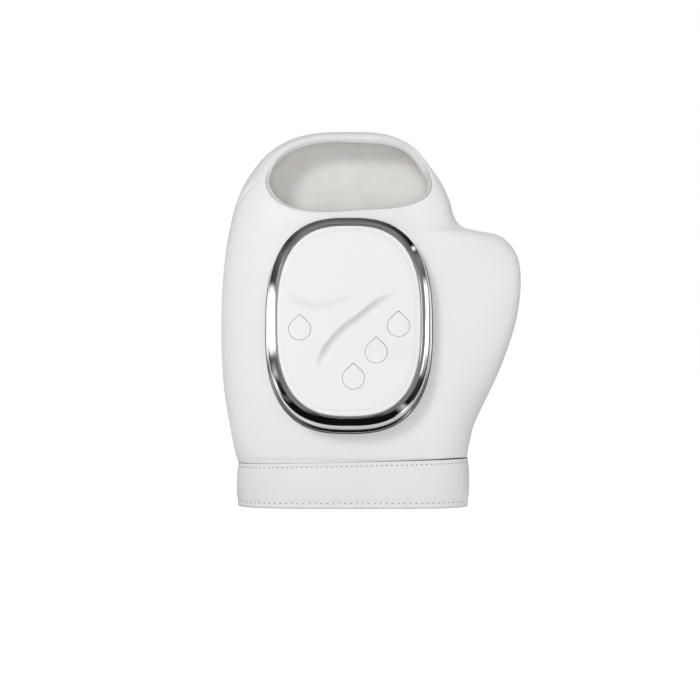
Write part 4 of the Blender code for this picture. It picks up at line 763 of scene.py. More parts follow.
def puffed(sheet, held, outwards, limit, pressure=4.0, frames=20):
    """Lets the cloth solver swell a sheet while its seams are held, and caps how far a point may move."""
    start = points_of(sheet)
    pins = sheet.vertex_groups.new(name="seams")
    pins.add([int(i) for i in np.flatnonzero(held)], 1.0, "REPLACE")
    cloth = sheet.modifiers.new("padding", "CLOTH")
    settings = cloth.settings
    settings.quality, settings.mass = 5, 0.2
    settings.tension_stiffness = settings.compression_stiffness = 12
    settings.bending_stiffness = 2.0
    settings.vertex_group_mass = pins.name
    settings.use_pressure, settings.uniform_pressure_force = True, pressure
    settings.effector_weights.gravity = 0
    cloth.point_cache.frame_start, cloth.point_cache.frame_end = 1, frames
    scene = bpy.context.scene
    for number in range(1, frames + 1):
        scene.frame_set(number)
    solved = sheet.evaluated_get(bpy.context.evaluated_depsgraph_get())
    moved = points_of(solved) - start
    sheet.modifiers.remove(cloth)
    sheet.vertex_groups.remove(pins)
    scene.frame_set(1)
    length = np.linalg.norm(moved, axis=1)
    along = np.clip((moved * outwards).sum(axis=1), -limit / 4, None)
    print(f"{sheet.name}: cloth moved {length.mean() / MM:.2f} mm on average, {length.max() / MM:.2f} mm at most")
    soft = limit * np.tanh(along / limit)
    put_points(sheet, start + outwards * soft[:, None])
    return sheet


def thickened(piece, thickness, offset=-1.0):
    wall = piece.modifiers.new("thickness", "SOLIDIFY")
    wall.thickness, wall.offset, wall.use_even_offset = thickness, offset, True
    return apply_modifiers(piece)


# %% The two leather pieces, swollen over their foam
leather_pieces = {}
for name, start in (("mitten_back_leather", -pi), ("mitten_palm_leather", 0)):
    sheet, held, outwards = leather_sheet(name, start)
    puffed(sheet, held, outwards, SWELL)
    leather_pieces[name] = sheet

# %% [markdown]
# ## The module's place
#
# The module is clamped to the back of the hand and leans back with the leather. All its pieces are drawn on
# its own axes: across, along towards the fingertips, and out of the panel. The panel's outline is a rounded
# rectangle of the kind that a power curve draws.

# %% The module's axes and outlines
MODULE_TILT = radians(9.5)
MODULE_RISE = 20.3 * MM
ACROSS = np.array((1.0, 0, 0))
ALONG = np.array((0, sin(MODULE_TILT), cos(MODULE_TILT)))
OUT = np.array((0, -cos(MODULE_TILT), sin(MODULE_TILT)))
seat = surface_along(np.array((module_x, middle_at(seat_height), seat_height)), np.array((0.0, -1, 0)))
MODULE_ORIGIN = seat + OUT * MODULE_RISE + SHIFT


def on_module(points):
    """Points given as (across, along, out) from the middle of the panel's top."""
    points = np.asarray(points, float)
    return MODULE_ORIGIN + points[..., :1] * ACROSS + points[..., 1:2] * ALONG + points[..., 2:] * OUT


def outline(outset, depth, count=192):
    """A ring along the panel's outline, moved outwards by an outset, at a depth below the panel's top."""
    turns = np.arange(count) * 2 * pi / count
    power = 2 / OUTLINE_FULLNESS
    x = (PANEL_HALF_WIDTH + outset) * np.sign(np.cos(turns)) * np.abs(np.cos(turns)) ** power
    y = (PANEL_HALF_LENGTH + outset) * np.sign(np.sin(turns)) * np.abs(np.sin(turns)) ** power
    return np.column_stack([x, y, np.broadcast_to(-np.asarray(depth), count)])


def leather_drop(ring):
    """How far below the panel's top the leather lies, at the places of a ring."""
    starts = on_module(ring * (1, 1, 0)) - SHIFT
    low, high = np.zeros(len(ring)), np.full(len(ring), MODULE_RISE + FRONT_DEPTH)
    for _ in range(HALVINGS):
        middle = (low + high) / 2
        clear = outside(starts - OUT * middle[:, None]) > 0
        low, high = np.where(clear, middle, low), np.where(clear, high, middle)
    return low


# %% [markdown]
# The leather behind the module has a hole for the tub. It is cut here, before the leather gets its
# thickness, with an upright prism on the module's outline. The bright ring hides the cut edge.

# %% Cut the hole and give both leather pieces their thickness
HOLE_OUTSET = -3.5 * MM
TUB_DEPTH = 33.6 * MM


def cut_for_tub(piece, name):
    return cut_with(piece, lofted(name, [on_module(outline(HOLE_OUTSET, depth)) for depth in (TUB_DEPTH, 0)]))


back = cut_for_tub(thickened(leather_pieces["mitten_back_leather"], LEATHER), "hole_cutter")
palm = thickened(leather_pieces["mitten_palm_leather"], LEATHER)
finished(smooth_shaded(back), mitten_leather, "white_leather", "front_leather", pad=0.7)
finished(smooth_shaded(palm), mitten_leather, "white_leather", "rear_leather", pad=0.7)

# %% [markdown]
# ## The cuff
#
# The cuff is a separate strip, folded round its own foam: up the outside to the seam, round the foot, and up
# the inside. Two rows of stitches press it in a little, and between them the foam pushes it out. It is laid
# as one closed sheet from a profile of (depth, height), with more points where it bends.

# %% Profile of the cuff strip
CUFF_INNER_HEIGHT = CUFF_HEIGHT - 8.5 * MM
FOAM = 5 * MM
RING_COLUMNS = 256
TOP_STITCH_DROP, FOOT_STITCH_HEIGHT = 2.6 * MM, 3.5 * MM
STITCH_DENT = 0.45 * MM
DENT_REACH = 2.2 * MM
CUFF_EDGE_DEPTH, CUFF_EDGE_REACH, CUFF_BELLY = 0.45 * MM, 1.1 * MM, 0.7 * MM
cuff_inside = 2 * LEATHER + FOAM + 2 * GAP


def cuff_depth(height):
    """How far the cuff's outer face lies inside the form: in at its seam and stitches, out between them."""
    top = turned_in(CUFF_HEIGHT - height, CUFF_EDGE_DEPTH, CUFF_EDGE_REACH)
    dents = sum(
        STITCH_DENT * np.exp(-((height - stitch) / DENT_REACH) ** 2)
        for stitch in (CUFF_HEIGHT - TOP_STITCH_DROP, FOOT_STITCH_HEIGHT)
    )
    belly = CUFF_BELLY * np.sin(pi * np.clip(height / CUFF_HEIGHT, 0, 1))
    return top + dents - belly


heights = CUFF_HEIGHT * (1 - eased(46, 0.7))
foot_radius = 1.6 * MM
outer_side = [(cuff_depth(h), h) for h in heights if h > foot_radius]
quarter = np.linspace(0, pi / 2, 6)
foot_depth = cuff_depth(foot_radius)
outer_foot = [(foot_depth + foot_radius * (1 - cos(t)), foot_radius * (1 - sin(t))) for t in quarter]
inner_foot = [(cuff_inside - foot_radius * (1 - cos(t)), foot_radius * (1 - sin(t))) for t in quarter[::-1]]
inner_side = [(cuff_inside, h) for h in np.linspace(foot_radius, CUFF_INNER_HEIGHT, 9)[1:]]
cuff_profile = (outer_side + outer_foot + inner_foot + inner_side)[::-1]

cuff_grid = wall_grid([0], full_turn(RING_COLUMNS))


def cuff_ring(depth, height):
    """The cuff's outline at a depth inside the form, at a height. Its top edge slants as the seam does."""
    x, y, _ = layer(cuff_grid, depth)[0].T
    slanted = smooth_step(height / CUFF_INNER_HEIGHT)
    return np.column_stack([x, y, 0 * x + height + SEAM_SLANT_SHARE * (x - CENTRE_X) * slanted]) + SHIFT


cuff = laid_sheet("cuff_strip", np.array([cuff_ring(depth, height) for depth, height in cuff_profile]))
merged(cuff, outwards=False)
thickened(cuff, LEATHER)
finished(smooth_shaded(cuff), cuff_leather, "white_leather", "cuff_band", pad=0.5)

# %% [markdown]
# ## The fingertip opening
#
# The opening is edged with a folded strip: a narrow lip outside, which meets the leather and carries a row of
# stitches, and a broader facing inside. Its section is a row of (row share, depth) pairs, swept round.

# %% Lining depth, and the folded edge
LINING = 0.8 * MM
HEM = 1.1 * MM
SIDE_WALL, REAR_WALL, FRONT_WALL = 10.8 * MM, 12.2 * MM, 21.3 * MM
WALL_FULL_WIDTH, WALL_FADE = PANEL_HALF_WIDTH + 15.1 * MM, 22 * MM
CUFF_BLEND_SHARE, OPENING_BLEND_SHARE, FRONT_BLEND_SHARE = 0.1, 0.2, 0.054
FRONT_WALL_FADE = 0.5


def lining_depth(grid, shares, angles):
    """How deep the lining lies: shallow at the cuff and the opening, deep behind the module and the palm."""
    beside = np.abs(grid[0][..., 0] - module_x)
    full = smooth_step((WALL_FULL_WIDTH + WALL_FADE - beside) / WALL_FADE)
    front = smooth_step(-np.sin(angles)[None, :] / FRONT_WALL_FADE)
    thick = REAR_WALL + (FRONT_WALL - REAR_WALL) * front
    middle = SIDE_WALL + (thick - SIDE_WALL) * full
    shares = np.array(shares)[:, None]
    blend = OPENING_BLEND_SHARE + (FRONT_BLEND_SHARE - OPENING_BLEND_SHARE) * front
    from_cuff, from_opening = smooth_step(shares / CUFF_BLEND_SHARE), smooth_step((1 - shares) / blend)
    cuff_layers, opening_layers = LEATHER + FOAM + 2 * GAP, LEATHER + GAP
    near_cuff = cuff_layers + (middle - cuff_layers) * from_cuff
    return opening_layers + (near_cuff - opening_layers) * from_opening


LIP_GAP_SHARE = 0.0004
FACING_SHARE = 0.974
ring_angles = full_turn(RING_COLUMNS)
lip_mm = ((0, 1.9), (0.02, 1.2), (0.08, 0.75), (0.3, 0.55), (0.7, 0.6), (0.9, 0.85), (1.0, 1.4))
STITCH_ON_LIP_MM, STITCH_SINK = 0.55, 0.9 * MM
rim_grid_shares = np.linspace(0.985, 1, 31)
rim_grid = wall_grid(rim_grid_shares, ring_angles)
rim_start = rim_share(ring_angles) + LIP_GAP_SHARE
facing = [(1.0, -0.75), (0.9995, -0.25), (0.998, 0.0), (0.992, 0.12), (0.986, -0.1), (0.981, 0.1), (0.978, 0.0),
          (FACING_SHARE + 0.0012, -0.35), (FACING_SHARE, -0.75)]
HIDDEN_FROM, HIDDEN_OVER = 0.995, 0.0035
hidden = smooth_step((rim_share(ring_angles) - HIDDEN_FROM) / HIDDEN_OVER)
LIP_HIDDEN, LIP_FLAT_MM = 1.2 * MM, 0.45
PALM_SIDE_FROM, PALM_SIDE_OVER = -0.1, 0.5
palm_side = smooth_step((np.sin(ring_angles) - PALM_SIDE_FROM) / PALM_SIDE_OVER)
lip_drop = LIP_HIDDEN * hidden * (1 - palm_side)
rows = []
for part, depth in lip_mm:
    at = rim_start + (1 - rim_start) * part
    column = [[np.interp(at[j], rim_grid_shares, table[:, j, axis]) for axis in range(3)] for table in rim_grid
              for j in range(len(at))]
    places, inwards = np.array(column).reshape(2, len(at), 3)
    depth_mm = depth + (min(depth, LIP_FLAT_MM) - depth) * palm_side
    rows.append(places + inwards * (depth_mm * MM + lip_drop)[:, None])
    if depth == STITCH_ON_LIP_MM:
        lip_path, lip_outwards = raised(rows[-1] + inwards * (STITCH_SINK * hidden)[:, None])[:-1], -inwards[:-1]
for share, rise_share in facing:
    grid = wall_grid([share], ring_angles)
    face = lining_depth(grid, [share], ring_angles) + LINING + 2 * GAP + HEM
    rows.append(layer(grid, face + HEM * rise_share)[0])
hem = laid_sheet("opening_edge", raised(rows))
# Painted shade: the lip is painted darker all round except at the palm, and the facing inside is painted a little
# darker all round.
FACING_PAINTED_SHADE, STRIP = 0.3, 0.35 * MM
painted_edge_shade = np.full((len(rows), len(ring_angles)), FACING_PAINTED_SHADE)
painted_edge_shade[:len(lip_mm)] = 1 - palm_side
hem.data.attributes.new("painted_edge_shade", "FLOAT", "POINT").data.foreach_set("value", painted_edge_shade.reshape(-1))
merged(hem, outwards=False)
thickened(hem, STRIP)
finished(smooth_shaded(hem, radians(60)), facing_leather, "white_leather", "opening_hem", pad=0.3)

# %% [markdown]
# ## The lining
#
# One sleeve of knitted cloth runs from inside the cuff to the opening. It follows the inside of the wall.

# %% The lining sleeve
LINING_ROWS = 120
first = station_at(CUFF_INNER_HEIGHT + GAP)
lining_shares = first + (LEATHER_END_SHARE - first) * np.linspace(0, 1, LINING_ROWS)
grid = wall_grid(lining_shares, ring_angles)
face = lining_depth(grid, lining_shares, ring_angles)
lining = walled("lining_sleeve", raised(layer(grid, face)), raised(layer(grid, face + LINING)))
finished(smooth_shaded(lining), lining_cloth, "grey_lining", "lining")

# %% [markdown]
# ## Stitches
#
# A stitch is a short bit of thread that dives into the leather at both ends, with a needle hole between two
# stitches. One is modelled: a small sphere is stretched and its ends are bent down. It is then copied along
# each seam, at a real pitch, and the copies are joined into one piece for each seam.

# %% One stitch and one needle hole, and a seam full of them
TOP_PITCH, FOOT_PITCH = 3.3 * MM, 3.9 * MM
STITCH_LENGTH = 2.3 * MM
THREAD_RADIUS = 0.32 * MM


def bead(name, length, width, height, segments=8, rings=7, dip=0.0):
    """A small stretched sphere along X whose ends dip."""
    nothing_chosen()
    bpy.ops.mesh.primitive_uv_sphere_add(segments=segments, ring_count=rings, radius=1)
    piece = named(name)
    bpy.ops.object.mode_set(mode="EDIT")
    bpy.ops.mesh.select_all(action="SELECT")
    bpy.ops.transform.rotate(value=pi / 2, orient_axis="Y", center_override=(0, 0, 0))
    bpy.ops.transform.resize(value=(length / 2, width / 2, height / 2), center_override=(0, 0, 0))
    bpy.ops.object.mode_set(mode="OBJECT")
    points = points_of(piece)
    points[:, 2] -= dip * (points[:, 0] / (length / 2)) ** 2
    put_points(piece, points)
    return piece


def even_steps(path, pitch, loop=True):
    """Places at an even pitch along a path, which is a closed loop unless it is said to be open."""
    closed = np.vstack([path, path[:1]]) if loop and np.linalg.norm(path[0] - path[-1]) > pitch / 10 else path
    run = np.concatenate([[0], np.cumsum(np.linalg.norm(np.diff(closed, axis=0), axis=1))])
    count = int(round(run[-1] / pitch))
    where = np.arange(count) * run[-1] / count
    return where, run, closed


def sewn(name, path, outwards, pitch, pattern, offset=0.0, sink=0.0, loop=True):
    """Copies of a pattern piece along a path, each lying on the surface, joined into one."""
    where, run, closed = even_steps(path, pitch, loop)
    where = where if loop else where[1:-1]
    facing = np.vstack([outwards, outwards[:1]]) if len(closed) != len(outwards) else outwards

    def along_seam(table, ahead=0.0):
        return np.column_stack([np.interp((where + offset + ahead) % run[-1], run, column) for column in table.T])

    copies = []
    for at, to, normal in zip(along_seam(closed), along_seam(closed, pitch / 4), along_seam(facing)):
        along = Vector(to - at).normalized()
        normal = Vector(normal).normalized()
        side = normal.cross(along).normalized()
        turn = Matrix((along, side, along.cross(side))).transposed().to_4x4()
        mesh = pattern.data.copy()
        mesh.transform(Matrix.Translation(Vector(at) - normal * sink) @ turn)
        copy = bpy.data.objects.new(name, mesh)
        bpy.context.scene.collection.objects.link(copy)
        copies.append(copy)
    nothing_chosen()
    for copy in copies:
        copy.select_set(True)
    bpy.context.view_layer.objects.active = copies[0]
    bpy.ops.object.join()
    seam = bpy.context.object
    seam.name = seam.data.name = name
    return smooth_shaded(seam, radians(80))


def ring_outwards(path):
    """The level direction out of a closed ring at each of its points."""
    ahead = np.roll(path, -1, axis=0) - np.roll(path, 1, axis=0)
    out = np.cross(ahead, (0, 0, 1.0))
    return out / np.linalg.norm(out, axis=1, keepdims=True)


stitch = bead("stitch_pattern", STITCH_LENGTH, 2 * THREAD_RADIUS, 2 * THREAD_RADIUS, dip=0.35 * MM)
small_stitch = bead("small_stitch_pattern", 2.2 * MM, 0.55 * MM, 0.6 * MM, dip=0.3 * MM)
hole = bead("hole_pattern", 1.6 * MM, 0.6 * MM, 0.26 * MM, rings=5)
small_hole = bead("small_hole_pattern", 0.8 * MM, 0.5 * MM, 0.24 * MM, rings=5)
for name, height, pitch in (("cuff_top", CUFF_HEIGHT - TOP_STITCH_DROP, TOP_PITCH),
                            ("cuff_foot", FOOT_STITCH_HEIGHT, FOOT_PITCH)):
    path = cuff_ring(cuff_depth(height), height)[:-1]
    out = ring_outwards(path)
    finished(sewn(f"{name}_stitches", path, out, pitch, stitch), thread, "white_leather")
    finished(sewn(f"{name}_needle_holes", path, out, pitch, hole, pitch / 2), needle_hole, "white_leather")

EDGE_PITCH, EDGE_STITCH_LIFT = 3.0 * MM, 0.1 * MM
outside_palm = np.sin(ring_angles[:-1]) < 0.2
start_of_row = np.flatnonzero(outside_palm & ~np.roll(outside_palm, 1))[0]
row_order = np.roll(np.arange(len(outside_palm)), -start_of_row)[:outside_palm.sum()]
lip_path, lip_outwards = lip_path[row_order], lip_outwards[row_order]
for name, pattern, offset, sink, material in (
    ("opening_stitches", small_stitch, 0.0, -EDGE_STITCH_LIFT, thread),
    ("opening_needle_holes", small_hole, EDGE_PITCH / 2, 0.0, soft_hole_shade),
):
    seam = sewn(name, lip_path, lip_outwards, EDGE_PITCH, pattern, offset, sink, loop=False)
    finished(seam, material, "white_leather")
for pattern in (stitch, small_stitch, hole, small_hole):
    bpy.data.objects.remove(pattern)

# %% [markdown]
# ## The face panel
#
# The panel is one white moulding with a soft shoulder, two shallow sweeping grooves and four drop-shaped
# holes for the keys. It is lofted from its outline inwards, so its rows follow the edge, and then its points
# are pressed down along two lines, as the mould does.

# %% Lines and depths of the two grooves
UPPER_SWEEP_MM = ((-39.6, 20.2), (-36.3, 16.2), (-31.1, 12.6), (-25.9, 10.6), (-19.4, 10.2), (-11.6, 11.6),
                  (-3.8, 14.2), (4.0, 16.8), (12.8, 19.2))
LOWER_SWEEP_MM = ((33.2, 21.1), (28.0, 17.5), (18.6, 12.6), (12.4, 7.9), (5.6, 2.3), (-0.6, -2.0), (-7.1, -7.9),
                  (-12.3, -13.8), (-16.1, -19.4), (-18.4, -24.3), (-19.5, -29.6), (-20.2, -37.1))
# Depth, and width on the left and on the right of the line.
UPPER_SIZE, LOWER_SIZE = (0.6 * MM, 1.7 * MM, 2.8 * MM), (1.25 * MM, 2.6 * MM, 1.25 * MM)


def groove(points, line_mm, deep, left_width, right_width):
    """How far a soft groove presses each point down. Each side of its line has a width of its own."""
    line = smooth_curve(line_mm, 16) * MM
    distance = np.linalg.norm(points[:, None, :2] - line[None], axis=2)
    nearest = distance.argmin(axis=1)
    share = nearest / (len(line) - 1)
    strength = smooth_step(share / 0.25) * smooth_step((1 - share) / 0.3)
    ahead = np.gradient(line, axis=0)[nearest]
    to_point = points[:, :2] - line[nearest]
    side = np.sign(ahead[:, 0] * to_point[:, 1] - ahead[:, 1] * to_point[:, 0])
    near = distance.min(axis=1)
    return strength * deep * np.exp(-((near / np.where(side > 0, left_width, right_width)) ** 2))


def pressed(points):
    """The panel's top, in its own axes, with both grooves pressed in."""
    points = np.array(points)
    points[:, 2] -= groove(points, UPPER_SWEEP_MM, *UPPER_SIZE)
    points[:, 2] -= groove(points, LOWER_SWEEP_MM, *LOWER_SIZE)
    return points


# %% Loft the panel and cut its four holes
PANEL = 2 * MM
DROP_RADIUS, DROP_TIP = 7.4 * MM, 10.3 * MM
BUTTON_PLACE_SHARES = {
    "power": (-0.6805, -0.0942), "heat": (0.6876, -0.059), "pressure": (0.3775, -0.3335), "mode": (0.0631, -0.6062),
}
button_centres = {key: (PANEL_HALF_WIDTH * x, PANEL_HALF_LENGTH * y) for key, (x, y) in BUTTON_PLACE_SHARES.items()}
DROP_FILLET, TIP_POINTS = 1.3 * MM, 9
# Outset and depth of each ring, from the panel's underside round its shoulder to its top.
panel_rims_mm = [(0, 2.0), (0, 1.6), (-0.08, 1.32), (-0.28, 1.08), (-0.6, 0.93), (-1.1, 0.85),
                 (-1.7, 0.80), (-2.3, 0.77), (-2.8, 0.72), (-3.2, 0.60), (-3.55, 0.44), (-3.9, 0.32),
                 (-4.3, 0.255), (-4.8, 0.225), (-5.5, 0.205), (-6.3, 0.19)]
PRESSED_ABOVE_MM = 0.8
dome_shares = np.linspace(1, 0.012, 64)[1:]


def drop_outline(outset, depth, count=72):
    """A ring along a key's outline: an arc and two straight sides that meet in its slightly rounded tip."""
    radius, tip = DROP_RADIUS + outset, DROP_TIP + outset * DROP_TIP / DROP_RADIUS
    side = acos(radius / tip)
    arc = np.linspace(pi / 2 + side, 5 * pi / 2 - side, count - TIP_POINTS)
    points = [(radius * cos(t), radius * sin(t)) for t in arc]
    end, start = np.array(points[-1]), np.array(points[0])
    top = np.array((0, tip))
    right, left = (top + (foot - top) / np.linalg.norm(foot - top) * DROP_FILLET for foot in (end, start))
    t = np.linspace(0, 1, TIP_POINTS)[:, None]
    points += list((1 - t) ** 2 * right + 2 * t * (1 - t) * top + t**2 * left)
    return np.column_stack([np.array(points), np.full(count, -depth)])


def panel_ring(outset, depth):
    ring = outline(outset * MM, depth * MM, 360)
    return on_module(pressed(ring) if depth < PRESSED_ABOVE_MM else ring)


flat = outline(panel_rims_mm[-1][0] * MM, 0, 360)
dome = [flat * share - (0, 0, panel_rims_mm[-1][1] * MM * share**1.5) for share in dome_shares]
dome_rings = [on_module(pressed(ring)) for ring in dome]
panel = lofted("face_cover", [panel_ring(*rim) for rim in panel_rims_mm] + dome_rings)
for key, (x, y) in button_centres.items():
    drop = [drop_outline(0, depth) + (x, y, 0) for depth in (2 * PANEL, -PANEL)]
    cut_with(panel, lofted(f"{key}_cutter", [on_module(ring) for ring in drop]))
# Painted shade for the grooves: a number for each point, fullest along the lower groove, by which the panel's colour
# is darkened.
across, along = ((points_of(panel) - MODULE_ORIGIN) @ axis for axis in (ACROSS, ALONG))
flat_places = np.column_stack([across, along, 0 * across])
shade = 0.28 * groove(flat_places, UPPER_SWEEP_MM, 1, 1.5 * MM, 1.9 * MM)
shade += groove(flat_places, LOWER_SWEEP_MM, 1, 2.1 * MM, 1.2 * MM)
panel.data.attributes.new("painted_groove_shade", "FLOAT", "POINT").data.foreach_set("value", np.clip(shade, 0, 1))
finished(smooth_shaded(panel, radians(32)), panel_plastic, "white_plastic", "face_panel")

# %% [markdown]
# ## The four keys
#
# Each key is a drop with a thin gap round it, a hair below the panel, over a flange that stops it from
# falling out. Its top has a small rounded edge, which is what makes its outline read as a fine line.

# %% Drop-shaped keys
BUTTON_CLEARANCE = 0.22 * MM
FLANGE_OUTSET, KEY_FLANGE = 1.1 * MM, 1.0 * MM
KEY_STEM, KEY_STEM_END = 2.4 * MM, 4.95 * MM
KEY_RECESS, FLANGE_TOP = 0.14 * MM, PANEL + GAP
# Inset and depth of each ring of a key's top, from its middle over its rounded edge.
KEY_TOP_MM = ((4.2, -0.05), (2.0, -0.03), (0.9, 0.0), (0.42, 0.04), (0.16, 0.14), (0.04, 0.28), (0, 0.5))
for key, (x, y) in button_centres.items():
    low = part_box(f"{key}_button")[0]
    print(f"{key} key: its solid starts {(MODULE_ORIGIN[1] - low.y) / MM:.2f} mm in front of the panel's middle")
    rings = [drop_outline(-BUTTON_CLEARANCE - inset * MM, KEY_RECESS + depth * MM) for inset, depth in KEY_TOP_MM]
    rings += [drop_outline(-BUTTON_CLEARANCE, FLANGE_TOP), drop_outline(FLANGE_OUTSET, FLANGE_TOP),
              drop_outline(FLANGE_OUTSET, FLANGE_TOP + KEY_FLANGE)]
    flat = drop_outline(0, 0)[:, :2]
    stem = KEY_STEM * flat / np.linalg.norm(flat, axis=1, keepdims=True)
    for depth in (FLANGE_TOP + KEY_FLANGE, KEY_STEM_END):
        rings.append(np.column_stack([stem, np.full(len(stem), -depth)]))
    button = lofted(f"{key}_key", [on_module(ring + (x, y, 0)) for ring in rings])
    finished(smooth_shaded(button, radians(32)), panel_plastic, "white_plastic", f"{key}_button", body=f"{key}_key")

# %% [markdown]
# ## The bright ring
#
# The ring's section falls from a narrow bead beside the panel down a steep flank to a rolled foot, and the
# foot follows the curve of the leather. A smooth curve through the section's stations keeps the reflections
# clean, because a mirror shows every kink.

# %% Loft the ring, and cut the charging socket's slot
BEZEL_FLARE, BEZEL_FOOT, FOOT_BULGE, FOOT_INSET = 7.15 * MM, 2.2 * MM, 0.5 * MM, 0.6 * MM
BEZEL_INSIDE = 0.3 * MM
SECTION_MM = ((0.3, 2.6), (0.3, 1.1), (0.4, 0.62), (0.75, 0.42), (1.6, 0.48), (2.6, 0.78), (3.6, 1.4),
              (4.6, 2.25), (5.4, 3.2), (6.0, 4.3), (6.4, 5.9), (6.62, 8.2), (6.7, 11.0), (6.75, 14.2))
section = smooth_curve(SECTION_MM, 4)
foot_ring = outline(BEZEL_FLARE, 0)
foot_drop = leather_drop(foot_ring) - GAP
inner_drop = leather_drop(outline(BEZEL_INSIDE, 0)) - GAP
rings = [outline(out * MM, deep * MM) for out, deep in section]
for turn in np.linspace(pi / 2, -pi / 2, 9):
    bulge = BEZEL_FLARE - FOOT_INSET + (FOOT_BULGE + FOOT_INSET) * cos(turn)
    rings.append(outline(bulge, foot_drop - BEZEL_FOOT / 2 - BEZEL_FOOT / 2 * sin(turn)))
rings.append(outline(BEZEL_INSIDE, inner_drop))
ring = lofted("bright_ring", [on_module(station) for station in rings], ends="join")
SOCKET_SLOT, SLOT_INWARDS, SLOT_OUTWARDS = (9.7 * MM, 4.0 * MM), 6 * MM, 12 * MM


def slot_outline(width, height, count=14):
    radius, straight = height / 2, (width - height) / 2
    half = np.linspace(-pi / 2, pi / 2, count)
    right = [(straight + radius * cos(t), radius * sin(t)) for t in half]
    return np.array(right + [(-x, -z) for x, z in right])


socket_low, socket_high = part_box("charging_socket")
socket_centre = (np.array(socket_low) + np.array(socket_high)) / 2
socket_place = np.array([(socket_centre - MODULE_ORIGIN) @ axis for axis in (ACROSS, ALONG, OUT)])
slot_rings = [
    on_module(np.array([(x + socket_place[0], along, z + socket_place[2]) for x, z in slot_outline(*SOCKET_SLOT)]))
    for along in (PANEL_HALF_LENGTH - SLOT_INWARDS, PANEL_HALF_LENGTH + SLOT_OUTWARDS)
]
cut_with(ring, lofted("slot_cutter", slot_rings))
finished(smooth_shaded(ring, radians(50)), plating, "chrome", "chrome_bezel")
print(f"socket at {np.round(socket_place / MM, 2)} mm on the module")

# %% [markdown]
# A thin dark cord runs round the ring's foot where it meets the leather. It is painted shadow and reflection:
# a dark line in place of the shade and the dark reflection there. It is swept round the same outline.

# %% Sweep the dark cord of painted shadow
SHADOW_CORD_RADIUS, SHADOW_CORD_OUTSET, SHADOW_CORD_LIFT = 0.4 * MM, BEZEL_FLARE + FOOT_BULGE + 0.15 * MM, 0.35 * MM
shadow_cord_rings = []
for turn in np.arange(8) * 2 * pi / 8:
    around = outline(SHADOW_CORD_OUTSET + SHADOW_CORD_RADIUS * cos(turn), 0, 360)
    around[:, 2] = -leather_drop(around) + SHADOW_CORD_LIFT + SHADOW_CORD_RADIUS * sin(turn)
    shadow_cord_rings.append(on_module(around))
shadow_cord = lofted("ring_foot_shadow_cord", shadow_cord_rings, ends="join")
finished(smooth_shaded(shadow_cord, radians(80)), black_plastic, "black_plastic")

# %% [markdown]
# ## Foam, air bags and heating films
#
# Behind the leather lies a sheet of foam on each side, and in the cuff a foam ring. Behind the foam are three
# air bags, welded flat round their edges and fuller in the middle, and on two of them a thin heating film.
# None of them shows, but an open mitten or a moved piece would show them, so each is laid on the same rows
# and columns: an inner sheet that is extruded to an outer one.

# %% Foam sheets and the cuff's foam
FOAM_ROWS, FOAM_COLUMNS, FOAM_SEAM_ANGLE = 60, 80, radians(0.3)
foam_shares = np.linspace(0, 0.935, FOAM_ROWS)
for name, start, replaced in (("back_foam", -pi, "front_foam"), ("palm_foam", 0, "rear_foam")):
    angles = np.linspace(start + FOAM_SEAM_ANGLE, start + pi - FOAM_SEAM_ANGLE, FOAM_COLUMNS)
    grid = wall_grid(foam_shares, angles)
    top = LEATHER + SWELL + SEAM_DEPTH + GAP
    bottom = np.minimum(LEATHER + GAP + FOAM, lining_depth(grid, foam_shares, angles) - GAP)
    sheet = walled(name, raised(layer(grid, np.minimum(top, bottom - GAP))), raised(layer(grid, bottom)))
    if name == "back_foam":
        cut_for_tub(sheet, "foam_cutter")
    finished(smooth_shaded(sheet), foam, "foam", replaced, pad=0.8)

# Depth and height of the four corners of the cuff's foam, all clear of the strip round it.
core = [(1.9 * MM + LEATHER, CUFF_HEIGHT - 2 * MM), (2.2 * MM + LEATHER, foot_radius + LEATHER + 0.5 * MM),
        (cuff_inside - GAP - 0.4 * MM, foot_radius + LEATHER + 0.5 * MM), (cuff_inside - GAP, CUFF_HEIGHT - 2 * MM)]
core = [cuff_ring(depth, height)[:-1] for depth, height in core]
finished(smooth_shaded(lofted("cuff_ring_foam", core, ends="join")), foam, "foam", "cuff_foam", pad=0.8)

# %% Air bags and heating films
WALL_COLUMNS = 32
BACK_BAG, BACK_BAG_DEPTH = 4.6 * MM, TUB_DEPTH - MODULE_RISE + 1.3 * MM
PALM_BAG, PALM_BAG_DEPTH = 3.3 * MM, 7.1 * MM
THUMB_BAG, THUMB_BAG_DEPTH = 2.4 * MM, 7.0 * MM
FILM, FILM_GAP = 0.8 * MM, 0.5 * MM
BAG_ROWS, BAG_COLUMNS = 40, 50
WELD_UP, WELD_ALONG, WELDED_SHARE = 0.2, 0.16, 0.2


def flat_bag(name, shares, middle, spread, depth, thickness, at_rim=WELDED_SHARE):
    """A bag between two rows, welded at its rim and full in its middle."""
    up, along = np.linspace(0, 1, BAG_ROWS), np.linspace(0, 1, BAG_COLUMNS)
    grid = wall_grid(
        shares[0] + (shares[1] - shares[0]) * up,
        (middle + spread * (2 * along - 1)) * 2 * pi / WALL_COLUMNS,
    )
    from_rows, from_columns = np.minimum(up, 1 - up) / WELD_UP, np.minimum(along, 1 - along) / WELD_ALONG
    rise = smooth_step(from_rows)[:, None] * smooth_step(from_columns)
    half = thickness / 2 * (at_rim + (1 - at_rim) * rise)
    centre = depth + thickness / 2
    return walled(name, raised(layer(grid, centre - half)), raised(layer(grid, centre + half)))


